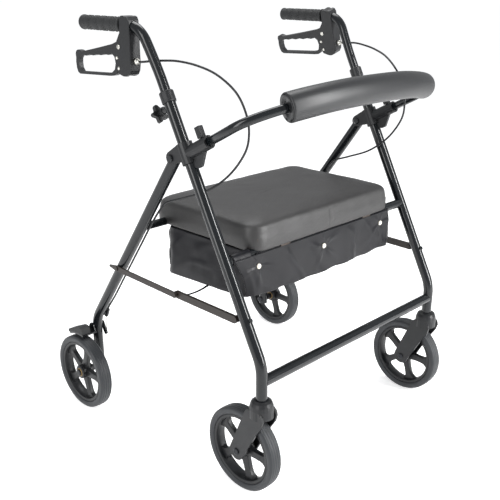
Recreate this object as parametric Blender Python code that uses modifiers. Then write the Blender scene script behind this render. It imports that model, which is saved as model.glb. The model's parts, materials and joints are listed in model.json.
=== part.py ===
"""A bariatric rollator walker: a folding steel frame on four 8-inch wheels, with a padded
flip-up seat, a pouch under it, a curved backrest and loop-lever brakes. Metres, +Z up,
front (the caster side) toward -Y, the user's right toward -X, origin on the floor."""
import bmesh
import bpy
from math import cos, pi, radians, sin, sqrt, tan
from mathutils import Matrix, Vector

# ---- driving dimensions -------------------------------------------------------------------
WHEEL_R = 0.1016            # 8-inch wheels
TYRE_W = 0.0344
SPOKE_TURN = -107           # where the first spoke points, off +Y, in degrees
RIM_R = 0.0843              # the rim under the tyre
WHEELBASE = 0.559
TRAIL = 0.054               # the caster axle behind its swivel axis
LEG_X = 0.322               # the legs stand in two planes, right and left
REAR_WHEEL_X = 0.371
TUBE_R = 0.0127             # 1-inch frame tube
BORE_R = 0.0117             # its inside, where the handle tube slides
HANDLE_R = 0.0111           # 7/8-inch handle tube
SLEEVE_R = 0.0132           # the inside of what wraps a frame tube
BEND_R = 0.10               # bends of the legs
FRONT_LEAN = radians(27.56)     # front leg, off vertical
REAR_LEAN = radians(36.05)      # rear leg, off vertical
FRONT_BEND_Z = 0.3253
REAR_BEND_Z = 0.2401
LEG_TOP = 0.597             # length of a front leg above its bend
PIVOT_Z = 0.732             # where a rear leg hangs from its bracket
GRIP_Z = 0.994
GRIP_X = 0.331
LEFT_BRAKE_TURN = radians(18)   # the left brake unit, clamped with its foot swung out
SEAT_HALF = 0.254           # 20 x 13.7 inch seat
SEAT_FRONT = -0.2434
SEAT_REAR = 0.1045
SEAT_TOP = 0.5975
SKIRT_Z = 0.5400            # lower edge of the seat's skirt
BOARD_Z = 0.5552            # underside of the seat board
SEAT_BAR_Z = 0.532          # front seat bar, which is also the seat's hinge
REST_BAR_Z = 0.5446         # rear seat bar, which the seat rests on
SEAT_BAR_R = 0.0111
REST_BAR_R = 0.0095
CROSSBAR_Z = 0.2888
BACK_R = 0.0095             # backrest tube, 3/4 inch
PAD_R = 0.0303              # foam on it
GAP = 0.0003                # left between touching pieces

FRONT_Y = -WHEELBASE / 2 - TRAIL        # front legs' upright part, and the swivel axes
REAR_Y = WHEELBASE / 2                  # rear legs' upright part, and the rear axles

# ---- the scene ------------------------------------------------------------------------------
for old in list(bpy.data.objects):
    bpy.data.objects.remove(old)
PARTS = bpy.data.collections.new("rollator_walker")
bpy.context.scene.collection.children.link(PARTS)


def material(name, colour, roughness, metallic=0.0):
    made = bpy.data.materials.new(name)
    made.use_nodes = True
    shader = made.node_tree.nodes["Principled BSDF"]
    shader.inputs["Base Color"].default_value = (*colour, 1)
    shader.inputs["Roughness"].default_value = roughness
    shader.inputs["Metallic"].default_value = metallic
    return made


BLACK_STEEL = material("gloss_black_steel", (0.012, 0.013, 0.015), 0.22)
BROWN_STEEL = material("brown_black_steel", (0.05, 0.042, 0.04), 0.5)
PLASTIC = material("black_plastic", (0.03, 0.03, 0.032), 0.45)
RUBBER = material("grey_black_rubber", (0.055, 0.056, 0.06), 0.7)
GRIP = material("grip_rubber", (0.05, 0.05, 0.05), 0.8)
VINYL = material("dark_grey_vinyl", (0.10, 0.10, 0.10), 0.5)
NYLON = material("black_nylon", (0.025, 0.025, 0.028), 0.6)
ZINC = material("zinc_steel", (0.7, 0.7, 0.68), 0.3, 1.0)
FOAM = material("black_foam", (0.06, 0.06, 0.065), 0.7)
WOOD = material("seat_board", (0.08, 0.06, 0.05), 0.8)


# ---- helpers --------------------------------------------------------------------------------
def add(name, mesh, matrix=Matrix()):
    made = bpy.data.objects.new(name, mesh)
    PARTS.objects.link(made)
    mesh.transform(matrix)
    return made


def bake(obj):
    """Replaces the object's mesh with what its modifiers make of it."""
    bpy.context.view_layer.update()
    graph = bpy.context.evaluated_depsgraph_get()
    mesh = bpy.data.meshes.new_from_object(obj.evaluated_get(graph))
    obj.modifiers.clear()
    obj.data = mesh
    return obj


def weld(mesh):
    work = bmesh.new()
    work.from_mesh(mesh)
    bmesh.ops.remove_doubles(work, verts=work.verts, dist=1e-6)
    bmesh.ops.recalc_face_normals(work, faces=work.faces)
    work.to_mesh(mesh)
    work.free()
    return mesh


def along(direction):
    """The rotation that turns +Z to a direction."""
    return Vector(direction).to_track_quat("Z", "Y").to_matrix().to_4x4()


def rod(name, start, end, radius, sides=16):
    """A cylinder from one point to another."""
    start, end = Vector(start), Vector(end)
    work = bmesh.new()
    bmesh.ops.create_cone(
        work, cap_ends=True, segments=sides, radius1=radius, radius2=radius,
        depth=(end - start).length,
    )
    mesh = bpy.data.meshes.new(name)
    work.to_mesh(mesh)
    work.free()
    return add(name, mesh, Matrix.Translation((start + end) / 2) @ along(end - start))


def box(name, low, high):
    """A box between two corners."""
    low, high = Vector(low), Vector(high)
    work = bmesh.new()
    bmesh.ops.create_cube(work, size=1.0)
    bmesh.ops.scale(work, vec=high - low, verts=work.verts)
    bmesh.ops.translate(work, vec=(low + high) / 2, verts=work.verts)
    mesh = bpy.data.meshes.new(name)
    work.to_mesh(mesh)
    work.free()
    return add(name, mesh)


def curve_mesh(name, curve):
    guide = bpy.data.objects.new(name, curve)
    PARTS.objects.link(guide)
    bpy.context.view_layer.update()
    graph = bpy.context.evaluated_depsgraph_get()
    mesh = bpy.data.meshes.new_from_object(guide.evaluated_get(graph))
    bpy.data.objects.remove(guide)
    return weld(mesh)


def plate(name, outlines, low, high, frame=None):
    """A flat piece: an outline in (y, z) with any holes, from x = low to x = high."""
    curve = bpy.data.curves.new(name, "CURVE")
    curve.dimensions = "2D"
    curve.fill_mode = "BOTH"
    curve.extrude = abs(high - low) / 2
    for outline in outlines:
        spline = curve.splines.new("POLY")
        spline.points.add(len(outline) - 1)
        for point, (y, z) in zip(spline.points, outline):
            point.co = (y, z, 0, 1)
        spline.use_cyclic_u = True
    turn = Matrix(((0, 0, 1, (low + high) / 2), (1, 0, 0, 0), (0, 1, 0, 0), (0, 0, 0, 1)))
    return add(name, curve_mesh(name, curve), (frame or Matrix()) @ turn)


def tube(name, points, radius, resolution=6, thin=None):
    """A bevelled curve through points. thin gives a share of the radius at each point."""
    curve = bpy.data.curves.new(name, "CURVE")
    curve.dimensions = "3D"
    curve.bevel_depth = radius
    curve.bevel_resolution = resolution
    curve.use_fill_caps = True
    spline = curve.splines.new("POLY")
    spline.points.add(len(points) - 1)
    for i, (point, at) in enumerate(zip(spline.points, points)):
        point.co = (*at, 1)
        point.radius = thin[i] if thin else 1.0
    return add(name, curve_mesh(name, curve))


def turned(name, profile, start, direction, steps=24, closed=False):
    """A turned piece. profile is (radius, distance along the axis), from the far end back."""
    mesh = bpy.data.meshes.new(name)
    ends = [(i, i + 1) for i in range(len(profile) - 1)]
    if closed:
        ends.append((len(profile) - 1, 0))
    mesh.from_pydata([(r, 0, d) for r, d in profile], ends, [])
    made = add(name, mesh)
    screw = made.modifiers.new("turn", "SCREW")
    screw.steps = screw.render_steps = steps
    screw.use_merge_vertices = True
    screw.merge_threshold = 1e-5
    bake(made)
    weld(made.data)
    made.data.transform(Matrix.Translation(start) @ along(direction))
    return made


def boolean(obj, operation, others):
    for other in others:
        step = obj.modifiers.new(operation.lower(), "BOOLEAN")
        step.operation = operation
        step.solver = "EXACT"
        step.object = other
    bake(obj)
    for other in others:
        bpy.data.objects.remove(other)
    return obj


def join(obj, *others):
    return boolean(obj, "UNION", others)


def cut(obj, *others):
    return boolean(obj, "DIFFERENCE", others)


def finish(obj, skin, origin=(0, 0, 0), sharp=35):
    """Gives a piece its material, its smooth shading and its origin, on its joint's axis."""
    obj.data.materials.clear()
    obj.data.materials.append(skin)
    obj.data.transform(Matrix.Translation(-Vector(origin)))
    obj.location = origin
    obj.data.shade_smooth()
    obj.data.set_sharp_from_angle(angle=radians(sharp))
    return obj


def both(obj, turn=None):
    """The left-hand twin of a right-hand piece, mirrored in the walker's middle plane, and
    then turned if it is clamped at another angle."""
    twin = obj.copy()
    twin.data = obj.data.copy()
    twin.name = obj.name.replace("right_", "left_")
    PARTS.objects.link(twin)
    twin.data.transform(Matrix.Diagonal((-1, 1, 1, 1)))
    twin.data.flip_normals()
    place = Vector((-obj.location.x, obj.location.y, obj.location.z))
    if turn:
        home = turn @ place if place.length else place
        twin.data.transform(Matrix.Translation(-home) @ turn @ Matrix.Translation(place))
        place = home
    twin.location = place
    return twin


def arc(centre, radius, start, end, count):
    """Points on an arc, in degrees, both ends included."""
    steps = [radians(start + (end - start) * i / (count - 1)) for i in range(count)]
    return [(centre[0] + radius * cos(a), centre[1] + radius * sin(a)) for a in steps]


def bent(corners, radius, count=5):
    """A polyline of 3D corners with each inner corner rounded to a radius."""
    corners = [Vector(c) for c in corners]
    points = [corners[0]]
    for before, at, after in zip(corners, corners[1:], corners[2:]):
        into, out = (at - before).normalized(), (after - at).normalized()
        angle = into.angle(out)
        reach = radius * tan(angle / 2)
        centre = at + (out - into).normalized() * radius / cos(angle / 2)
        first = at - into * reach - centre
        axis = into.cross(out).normalized()
        for i in range(count):
            points.append(centre + Matrix.Rotation(angle * i / (count - 1), 3, axis) @ first)
    points.append(corners[-1])
    return points


def smooth_path(points, count):
    """Points evenly spread along a smooth curve through the given ones."""
    points = [Vector(p) for p in points]
    ends = [2 * points[0] - points[1], *points, 2 * points[-1] - points[-2]]
    fine = []
    for a, b, c, d in zip(ends, ends[1:], ends[2:], ends[3:]):
        for i in range(24):
            t = i / 24
            fine.append(
                0.5 * (2 * b + (c - a) * t + (2 * a - 5 * b + 4 * c - d) * t**2
                       + (3 * b - 3 * c + d - a) * t**3)
            )
    fine.append(points[-1])
    run = [0.0]
    for a, b in zip(fine, fine[1:]):
        run.append(run[-1] + (b - a).length)
    out, at = [], 0
    for i in range(count):
        want = run[-1] * i / (count - 1)
        while at < len(run) - 2 and run[at + 1] < want:
            at += 1
        share = (want - run[at]) / max(run[at + 1] - run[at], 1e-9)
        out.append(fine[at].lerp(fine[at + 1], min(share, 1.0)))
    return out


# A right-hand frame that stands on the front leg's bend: x across, y square to the leg and
# rearward, z up the leg.
LEG = (Matrix.Translation((-LEG_X, FRONT_Y, FRONT_BEND_Z))
       @ Matrix.Rotation(-FRONT_LEAN, 4, "X"))


def on_leg(n, s, x=0.0):
    """World place of a point n behind the front leg's axis and s up it."""
    return LEG @ Vector((x, n, s))


def front_leg_y(z):
    return FRONT_Y + (z - FRONT_BEND_Z) * tan(FRONT_LEAN)


def rear_leg_y(z):
    return REAR_Y - (z - REAR_BEND_Z) * tan(REAR_LEAN)


REAR_UP = Vector((0, -sin(REAR_LEAN), cos(REAR_LEAN)))      # up a rear leg
PIVOT = Vector((-LEG_X, rear_leg_y(PIVOT_Z), PIVOT_Z))
PIVOT_N, PIVOT_S = (LEG.inverted() @ PIVOT)[1:3]
SOCKET_S = 0.4724                                           # backrest socket, up the leg
KNOB_S = 0.5775
SPREAD_N, SPREAD_S = 0.0229, 0.1131                         # front end of a spreader
SPREAD_A = on_leg(SPREAD_N, SPREAD_S)
SPREAD_H = Vector((-LEG_X, -0.0735, 0.4170))                # its middle
SPREAD_B = Vector((-LEG_X, rear_leg_y(0.4220), 0.4220))     # its rear end
BRAKE_PIVOT = Vector((-LEG_X, REAR_Y, 0.222))
BARREL = Vector((-0.308, 0.2490, 0.262))                    # rear cable adjuster
BARREL_D = Vector((0, 0.431, -0.902))
LEVER_PIVOT = Vector((-GRIP_X, 0.0738, 0.9491))

# ---- front legs -----------------------------------------------------------------------------
leg = tube(
    "right_front_leg",
    bent([(-LEG_X, FRONT_Y, 0.2485), (-LEG_X, FRONT_Y, FRONT_BEND_Z), on_leg(0, LEG_TOP)],
         BEND_R),
    TUBE_R,
)
join(
    leg,
    rod("weld_nut", on_leg(0.0100, KNOB_S), on_leg(0.0245, KNOB_S), 0.0068, 12),
    rod("bolt_head", on_leg(-0.0165, 0.1008), on_leg(-0.0100, 0.1008), 0.0050, 8),
    plate("spreader_tab",
          [[(0.0090, SPREAD_S - 0.0075)] + arc((SPREAD_N, SPREAD_S), 0.0075, -90, 90, 7)
           + [(0.0090, SPREAD_S + 0.0075)]], -0.0042, -0.0002, LEG),
)
cut(
    leg,
    rod("bore", on_leg(0, 0.270), on_leg(0, 0.65), BORE_R),
    rod("stem_bore", (-LEG_X, FRONT_Y, 0.23), (-LEG_X, FRONT_Y, 0.2960), 0.0079, 12),
    rod("stud_hole", on_leg(0.005, KNOB_S), on_leg(0.04, KNOB_S), 0.0036, 10),
    rod("rivet_hole", SPREAD_A + Vector((-0.01, 0, 0)), SPREAD_A + Vector((0.01, 0, 0)),
        0.0036, 10),
)
both(finish(leg, BLACK_STEEL))

# ---- cross tubes between the front legs -----------------------------------------------------
LEFT = Vector((2 * LEG_X, 0, 0))


def cross_tube(name, y, z, radius, up, sides):
    """A tube from leg to leg, its ends shaped to sit on tubes that run along up."""
    at = Vector((-LEG_X, y, z))
    up = Vector(up) * 0.06
    bar = rod(name, (-LEG_X + 0.006, y, z), (LEG_X - 0.006, y, z), radius, sides)
    return cut(bar, rod("a", at - up, at + up, TUBE_R + 0.0005, 24),
               rod("b", at + LEFT - up, at + LEFT + up, TUBE_R + 0.0005, 24))


finish(cross_tube("lower_crossbar", FRONT_Y, CROSSBAR_Z, TUBE_R, (0, 0, 1), 16), BLACK_STEEL)
SEAT_BAR_Y = front_leg_y(SEAT_BAR_Z)
finish(
    cross_tube("front_seat_bar", SEAT_BAR_Y, SEAT_BAR_Z, SEAT_BAR_R,
               (0, sin(FRONT_LEAN), cos(FRONT_LEAN)), 16),
    BLACK_STEEL, (0, SEAT_BAR_Y, SEAT_BAR_Z),
)
REST_BAR_Y = rear_leg_y(REST_BAR_Z)
finish(cross_tube("rear_seat_bar", REST_BAR_Y, REST_BAR_Z, REST_BAR_R, REAR_UP, 16), BLACK_STEEL)

# ---- side brackets: a sleeve on the leg, an ear for the rear leg, a socket for the backrest --
EAR_R = 0.0142
bracket = rod("right_side_bracket", on_leg(0, 0.4515), on_leg(0, 0.4965), 0.0178, 20)
ear = ([(0.004, PIVOT_S - 0.019)] + arc((PIVOT_N, PIVOT_S), EAR_R, -75, 80, 7)
       + [(0.004, PIVOT_S + 0.0175)])
join(
    bracket,
    plate("outer_ear", [ear], -0.0172, -0.0132, LEG),
    plate("inner_ear", [ear], 0.0132, 0.0172, LEG),
    rod("socket", on_leg(-0.008, SOCKET_S), on_leg(-0.078, SOCKET_S), 0.0146, 16),
    plate("gusset", [[(-0.008, SOCKET_S), (-0.0600, SOCKET_S), (-0.0575, 0.4585),
                      (-0.0330, 0.4345), (-0.0220, 0.4345), (-0.008, 0.4420)]],
          -0.0035, 0.0035, LEG),
)
cut(
    bracket,
    rod("leg_bore", on_leg(0, 0.40), on_leg(0, 0.54), SLEEVE_R),
    rod("socket_bore", on_leg(-0.0192, SOCKET_S), on_leg(-0.10, SOCKET_S), 0.0102, 16),
    rod("pin_hole", PIVOT - Vector((0.03, 0, 0)), PIVOT + Vector((0.03, 0, 0)), 0.0044, 12),
    rod("catch_hole", on_leg(-0.060, SOCKET_S + 0.007), on_leg(-0.060, SOCKET_S + 0.02),
        0.0029, 10),
)
both(finish(bracket, PLASTIC))

HEAD = 0.0085
bolt = turned(
    "right_pivot_bolt",
    [(0, 0.0430), (HEAD * 0.7, 0.0428), (HEAD, 0.0410), (HEAD, 0.0390), (0.0040, 0.0390),
     (0.0040, 0.0040), (HEAD, 0.0040), (HEAD, 0.0018), (HEAD * 0.8, 0.0), (0, 0.0)],
    PIVOT - Vector((0.0215, 0, 0)), (1, 0, 0), 12,
)
both(finish(bolt, BLACK_STEEL, PIVOT))

# ---- height collars and their star knobs ----------------------------------------------------
collar = turned(
    "right_height_collar",
    [(BORE_R, 0.6094), (0.0148, 0.6094), (0.0158, 0.6080), (0.0158, 0.5870), (0.0152, 0.5852),
     (SLEEVE_R, 0.5852), (SLEEVE_R, LEG_TOP + GAP), (BORE_R, LEG_TOP + GAP)],
    on_leg(0, 0), on_leg(0, 1) - on_leg(0, 0), 24, True,
)
both(finish(collar, PLASTIC))

star = [((0.0165 + 0.0040 * cos(5 * a)) * cos(a), (0.0165 + 0.0040 * cos(5 * a)) * sin(a))
        for a in [2 * pi * i / 30 for i in range(30)]]
knob = plate("right_clamp_knob", [[(y, z) for y, z in star]], -0.0048, 0.0048,
             Matrix.Translation(on_leg(0.0440, KNOB_S)) @ Matrix.Rotation(-FRONT_LEAN, 4, "X")
             @ Matrix.Rotation(pi / 2, 4, "Z"))
join(
    knob,
    rod("neck", on_leg(0.0252, KNOB_S), on_leg(0.0420, KNOB_S), 0.0078, 12),
    rod("stud", on_leg(0.0119, KNOB_S), on_leg(0.0300, KNOB_S), 0.0030, 10),
)
both(finish(knob, PLASTIC, on_leg(0, KNOB_S)))

# ---- handle tubes and grips -----------------------------------------------------------------
def handle_path(count=6):
    """Up the leg, leaning out a little, then back to the grip."""
    top = Vector((-LEG_X, front_leg_y(GRIP_Z), GRIP_Z))
    points = bent([on_leg(0, 0.36), top, (-LEG_X, 0.2085, GRIP_Z)], 0.060, count)
    lower, upper = on_leg(0, 0.635), points[-2]
    points.insert(1, lower)
    for point in points[1:]:
        share = min(max((point.z - lower.z) / (upper.z - lower.z), 0), 1)
        point.x = -LEG_X - (GRIP_X - LEG_X) * share**1.5
    return points


both(finish(tube("right_handle_tube", handle_path(), HANDLE_R, 4), BLACK_STEEL))

grip = turned(
    "right_hand_grip",
    [(0, 0.1455), (0.0120, 0.1455), (0.0152, 0.1430), (0.0158, 0.1390), (0.0152, 0.1300),
     (0.0150, 0.0920), (0.0154, 0.0620), (0.0148, 0.0090), (0.0168, 0.0070), (0.0168, 0.0),
     (0.0118, 0.0), (0.0118, 0.1380), (0, 0.1380)],
    (-GRIP_X, 0.0715, GRIP_Z), (0, 1, 0), 20,
)
both(finish(grip, GRIP))

# ---- brake housings, clamped round the handle tubes -----------------------------------------
LEFT_GRIP = Matrix.Translation((GRIP_X, 0, GRIP_Z))
LEFT_TURN = LEFT_GRIP @ Matrix.Rotation(-LEFT_BRAKE_TURN, 4, "Y") @ LEFT_GRIP.inverted()

housing = plate(
    "right_brake_housing",
    [[(0.0340, 0.9130), (0.0340, 1.0040), (0.0375, 1.0105), (0.0440, 1.0125), (0.0480, 1.0095),
      (0.0540, 1.0125), (0.0620, 1.0125), (0.0675, 1.0060), (0.0690, 0.9790), (0.0810, 0.9620),
      (0.0860, 0.9400), (0.0865, 0.9180), (0.0815, 0.8930), (0.0640, 0.8885), (0.0520, 0.8890),
      (0.0420, 0.8935), (0.0362, 0.9020)]],
    -GRIP_X - 0.0142, -GRIP_X + 0.0142,
)
edge = housing.modifiers.new("edge", "BEVEL")
edge.width, edge.segments, edge.limit_method = 0.0035, 1, "ANGLE"
edge.angle_limit = radians(60)
bake(housing)
cut(
    housing,
    box("slot", (-GRIP_X - 0.0075, 0.0480, 0.86), (-GRIP_X + 0.0075, 0.12, 0.9740)),
    rod("pin_hole", LEVER_PIVOT - Vector((0.03, 0, 0)), LEVER_PIVOT + Vector((0.03, 0, 0)),
        0.0034, 12),
)
for shell, mirror in ((both(housing, LEFT_TURN), -1), (housing, 1)):
    path = [Vector((p.x * mirror, p.y, p.z)) for p in handle_path()]
    cut(shell, tube("tube_bore", path, 0.0119, 6))
    finish(shell, PLASTIC)

# ---- loop levers, with a finger-shaped underside to the top bar ------------------------------
fingers = [(0.2250 - 0.1150 * i / 16,
            0.9215 + 0.0095 * i / 16 + 0.0012 * cos(2 * pi * i / 4)) for i in range(17)]
lever = plate(
    "right_brake_lever",
    [
        [(0.0605, 0.9480), (0.0635, 0.9570), (0.0720, 0.9615), (0.0900, 0.9590),
         (0.1075, 0.9530), (0.1600, 0.9425), (0.2270, 0.9300), (0.2350, 0.9325),
         (0.2430, 0.9330), (0.2500, 0.9300), (0.2530, 0.9240), (0.2520, 0.9150),
         (0.2535, 0.9050), (0.2520, 0.8920), (0.2480, 0.8830), (0.2400, 0.8795),
         (0.1200, 0.8845), (0.1060, 0.8862), (0.0980, 0.8905), (0.0920, 0.8990),
         (0.0880, 0.9120), (0.0845, 0.9300), (0.0740, 0.9360), (0.0650, 0.9400)],
        [(0.2250, 0.9215), (0.2350, 0.9195), (0.2405, 0.9140), (0.2420, 0.9050),
         (0.2405, 0.8930), (0.2340, 0.8855), (0.1300, 0.8900), (0.1140, 0.8925),
         (0.1030, 0.9000), (0.0990, 0.9130), (0.1020, 0.9260)] + fingers[:0:-1],
    ],
    -GRIP_X - 0.0058, -GRIP_X + 0.0058,
)
cut(lever, rod("pin_hole", LEVER_PIVOT - Vector((0.02, 0, 0)),
               LEVER_PIVOT + Vector((0.02, 0, 0)), 0.0034, 12))
both(finish(lever, PLASTIC, LEVER_PIVOT), LEFT_TURN)

pin = turned(
    "right_lever_pin",
    [(0, 0.0321), (0.0040, 0.0318), (0.0052, 0.0308), (0.0052, 0.0305), (0.0030, 0.0305),
     (0.0030, 0.0016), (0.0052, 0.0016), (0.0052, 0.0012), (0.0040, 0.0003), (0, 0.0)],
    LEVER_PIVOT - Vector((0.01605, 0, 0)), (1, 0, 0), 12,
)
both(finish(pin, ZINC), LEFT_TURN)

adjuster = turned(
    "right_cable_adjuster",
    [(0.0030, 0.0130), (0.0048, 0.0130), (0.0048, 0.0045), (0.0036, 0.0040), (0.0036, 0.0),
     (0.0030, 0.0)],
    (-GRIP_X, 0.0337, 0.9213), (0, -1, 0), 16, True,
)
both(finish(adjuster, ZINC), LEFT_TURN)

# ---- rear legs, hung from the side brackets -------------------------------------------------
leg = tube(
    "right_rear_leg",
    bent([PIVOT + REAR_UP * 0.009, (-LEG_X, REAR_Y, REAR_BEND_Z), (-LEG_X, REAR_Y, 0.0860)],
         BEND_R),
    TUBE_R,
)
join(
    leg,
    box("cable_stop", (-0.3190, 0.2480, 0.2580), (-0.3060, 0.2680, 0.2660)),
    rod("barrel", BARREL - BARREL_D * 0.011, BARREL + BARREL_D * 0.011, 0.0055, 12),
)
SIDE = Vector((0.03, 0, 0))
AXLE = Vector((-LEG_X, REAR_Y, WHEEL_R))
cut(
    leg,
    rod("barrel_bore", BARREL - BARREL_D * 0.02, BARREL + BARREL_D * 0.02, 0.0030, 12),
    rod("pin_hole", PIVOT - SIDE, PIVOT + SIDE, 0.0044, 12),
    rod("rivet_hole", SPREAD_B - SIDE, SPREAD_B + SIDE, 0.0036, 10),
    rod("brake_hole", BRAKE_PIVOT - SIDE, BRAKE_PIVOT + SIDE, 0.0034, 10),
    rod("axle_hole", AXLE - SIDE, AXLE + SIDE, 0.0054, 12),
)
both(finish(leg, BLACK_STEEL, PIVOT))

# ---- spreader bars, which hold the legs apart and break downward at the middle --------------
def bar_outline(a, b, half, tip=0.0):
    """A bar with round ends from a to b in (y, z), with a pointed tail past b."""
    a, b = Vector((a[1], a[2])), Vector((b[1], b[2]))
    run = (b - a).normalized()
    side = Vector((-run.y, run.x))
    turn = (run.x, run.y)

    def place(p, q):
        return tuple(p + run * q[0] * half + side * q[1] * half)

    start = [place(a, (-sin(t), cos(t))) for t in [pi * i / 8 for i in range(9)]]
    if tip:
        end = [place(b, (0.6, -1)), tuple(b + run * tip - side * half * 0.35),
               tuple(b + run * tip + side * half * 0.35), place(b, (0.6, 1))]
    else:
        end = [place(b, (sin(t), -cos(t))) for t in [pi * i / 8 for i in range(9)]]
    return start + end


def rivet(at, low, high, radius):
    return rod("rivet", (low, at.y, at.z), (high, at.y, at.z), radius, 10)


bar = plate("right_front_spreader", [bar_outline(SPREAD_H, SPREAD_A, 0.0085)],
            -0.3335, -0.3266)
join(bar, rivet(SPREAD_A, -0.3300, -0.3205, 0.0032), rivet(SPREAD_A, -0.3217, -0.3195, 0.0058),
     rivet(SPREAD_H, -0.3270, -0.3245, 0.0060))
both(finish(bar, BROWN_STEEL, SPREAD_A))

bar = plate("right_rear_spreader", [bar_outline(SPREAD_H, SPREAD_B, 0.0068, 0.029)],
            -0.3395, -0.3355)
join(bar, rivet(SPREAD_B, -0.3415, -0.3070, 0.0032), rivet(SPREAD_B, -0.3415, -0.3385, 0.0060),
     rivet(SPREAD_B, -0.3085, -0.3067, 0.0058), rivet(SPREAD_H, -0.3415, -0.3385, 0.0060))
both(finish(bar, BROWN_STEEL, SPREAD_B))

# ---- wheels: a five-spoke plastic hub and a solid tyre ---------------------------------------
def wheel(name, x, y):
    """Hub and tyre that turn about X."""
    centre = Vector((x, y, WHEEL_R))
    across = Vector((1, 0, 0))
    hub = turned(
        f"{name}_hub",
        [(RIM_R, 0.0130), (RIM_R, -0.0130), (0.0790, -0.0138), (0.0695, -0.0120),
         (0.0695, 0.0120), (0.0790, 0.0138)],
        centre, across, 28, True,
    )
    pieces = [rod("core", centre - across * 0.0170, centre + across * 0.0170, 0.0185, 16)]
    for i in range(5):
        angle = radians(SPOKE_TURN + 72 * i)
        out = Vector((0, cos(angle), sin(angle)))
        flat = out.cross(across)
        spoke = box("spoke", (-0.0070, -0.0090, 0.008), (0.0070, 0.0090, 0.0745))
        spoke.data.transform(
            Matrix.Translation(centre)
            @ Matrix((across, -flat, out)).transposed().to_4x4())
        pieces.append(spoke)
    join(hub, *pieces)
    cut(hub, rod("bore", centre - across * 0.03, centre + across * 0.03, 0.0054, 12))
    half = TYRE_W / 2
    tyre = turned(
        f"{name}_tyre",
        [(RIM_R + GAP, half - 0.0030), (0.0930, half), (0.1002, half - 0.0050),
         (WHEEL_R, 0.0), (0.1002, 0.0050 - half), (0.0930, -half),
         (RIM_R + GAP, 0.0030 - half)],
        centre, across, 28, True,
    )
    both(finish(hub, PLASTIC, centre))
    both(finish(tyre, RUBBER, centre))


wheel("right_rear_wheel", -REAR_WHEEL_X, REAR_Y)
wheel("right_caster_wheel", -LEG_X, -WHEELBASE / 2)

axle = turned(
    "right_rear_axle",
    [(0, 0.0895), (0.0060, 0.0895), (0.0090, 0.0880), (0.0090, 0.0848), (0.0050, 0.0848),
     (0.0050, 0.0501), (0.0088, 0.0501), (0.0088, 0.0318), (0.0050, 0.0318), (0.0050, 0.0052),
     (0.0090, 0.0052), (0.0090, 0.0010), (0.0070, 0.0), (0, 0.0)],
    (-0.3037, REAR_Y, WHEEL_R), (-1, 0, 0), 16,
)
both(finish(axle, ZINC))

# ---- caster forks ---------------------------------------------------------------------------
HUB = (-WHEELBASE / 2, WHEEL_R)
SWIVEL = Vector((-LEG_X, FRONT_Y, 0))
blade = ([(FRONT_Y + 0.0260, 0.2200), (FRONT_Y + 0.0180, 0.2270), (FRONT_Y - 0.0140, 0.2270),
          (FRONT_Y - 0.0230, 0.2190), (FRONT_Y - 0.0255, 0.2090), (FRONT_Y - 0.0210, 0.1930),
          (FRONT_Y - 0.0060, 0.1700)]
         + arc(HUB, 0.0210, 195, 385, 9))
fork = turned(
    "right_caster_fork",
    [(0, 0.2900), (0.0060, 0.2900), (0.0070, 0.2880), (0.0070, 0.2478), (0.0160, 0.2478),
     (0.0225, 0.2440), (0.0257, 0.2370), (0.0275, 0.2280), (0.0275, 0.2070), (0, 0.2070)],
    SWIVEL, (0, 0, 1), 24,
)
join(
    fork,
    plate("outer_blade", [blade], -LEG_X - 0.0247, -LEG_X - 0.0192),
    plate("inner_blade", [blade], -LEG_X + 0.0192, -LEG_X + 0.0247),
)
cut(fork, rod("axle_hole", (-LEG_X - 0.04, *HUB), (-LEG_X + 0.04, *HUB), 0.0054, 12))
both(finish(fork, PLASTIC, SWIVEL))

axle = turned(
    "right_caster_axle",
    [(0, 0.0560), (0.0060, 0.0560), (0.0080, 0.0545), (0.0080, 0.0530), (0.0050, 0.0530),
     (0.0050, 0.0030), (0.0080, 0.0030), (0.0080, 0.0010), (0.0060, 0.0), (0, 0.0)],
    (-LEG_X - 0.0280, *HUB), (1, 0, 0), 16,
)
both(finish(axle, ZINC))

# ---- rear brakes: a rocking arm whose shoe rides over the tyre, under a foot cover -----------
REAR_HUB = (REAR_Y, WHEEL_R)
CRANK = (REAR_Y - 0.0130, 0.1975)
pivot = (BRAKE_PIVOT.y, BRAKE_PIVOT.z)
shoe = arc(REAR_HUB, 0.1075, 66, 99, 9) + arc(REAR_HUB, 0.1120, 99, 66, 9)
arm = plate("right_brake_arm", [shoe], -0.3800, -0.3366)
join(
    arm,
    plate("rocker", [arc(pivot, 0.0095, 10, 170, 7) + arc(REAR_HUB, 0.1078, 99, 80, 4)],
          -0.3405, -0.3366),
    rod("shaft", (-0.3400, *pivot), (-0.3035, *pivot), 0.0030, 10),
    plate("crank", [arc(pivot, 0.0065, -28, 152, 7) + arc(CRANK, 0.0060, 152, 332, 7)],
          -0.3072, -0.3030),
)
both(finish(arm, BLACK_STEEL, BRAKE_PIVOT))

cover = plate(
    "right_brake_pedal",
    [arc(REAR_HUB, 0.1124, 98, 66, 9)
     + [(0.3290, 0.2060), (0.3280, 0.2125), (0.2860, 0.2315), (0.2740, 0.2335),
        (0.2655, 0.2290), (0.2640, 0.2210)]],
    -0.3810, -0.3550,
)
both(finish(cover, RUBBER, BRAKE_PIVOT))

# ---- backrest: a U of tube in the brackets' sockets, with a foam pad -------------------------
ARM, CROWN, POWER, RISE = 0.144, 0.1185, 2.1, 0.0050


def back_path(turn, count):
    """The backrest's curve; turn is how far round it goes each way from the middle."""
    points = []
    for i in range(count):
        a = pi / 2 + turn * (2 * i / (count - 1) - 1)
        x = LEG_X * (-1 if cos(a) > 0 else 1) * abs(cos(a)) ** (2 / POWER)
        points.append(Vector((x, 0, RISE * sin(a) ** (2 / POWER)))
                      + on_leg(-ARM - CROWN * sin(a) ** (2 / POWER), SOCKET_S, LEG_X))
    return points


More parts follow.
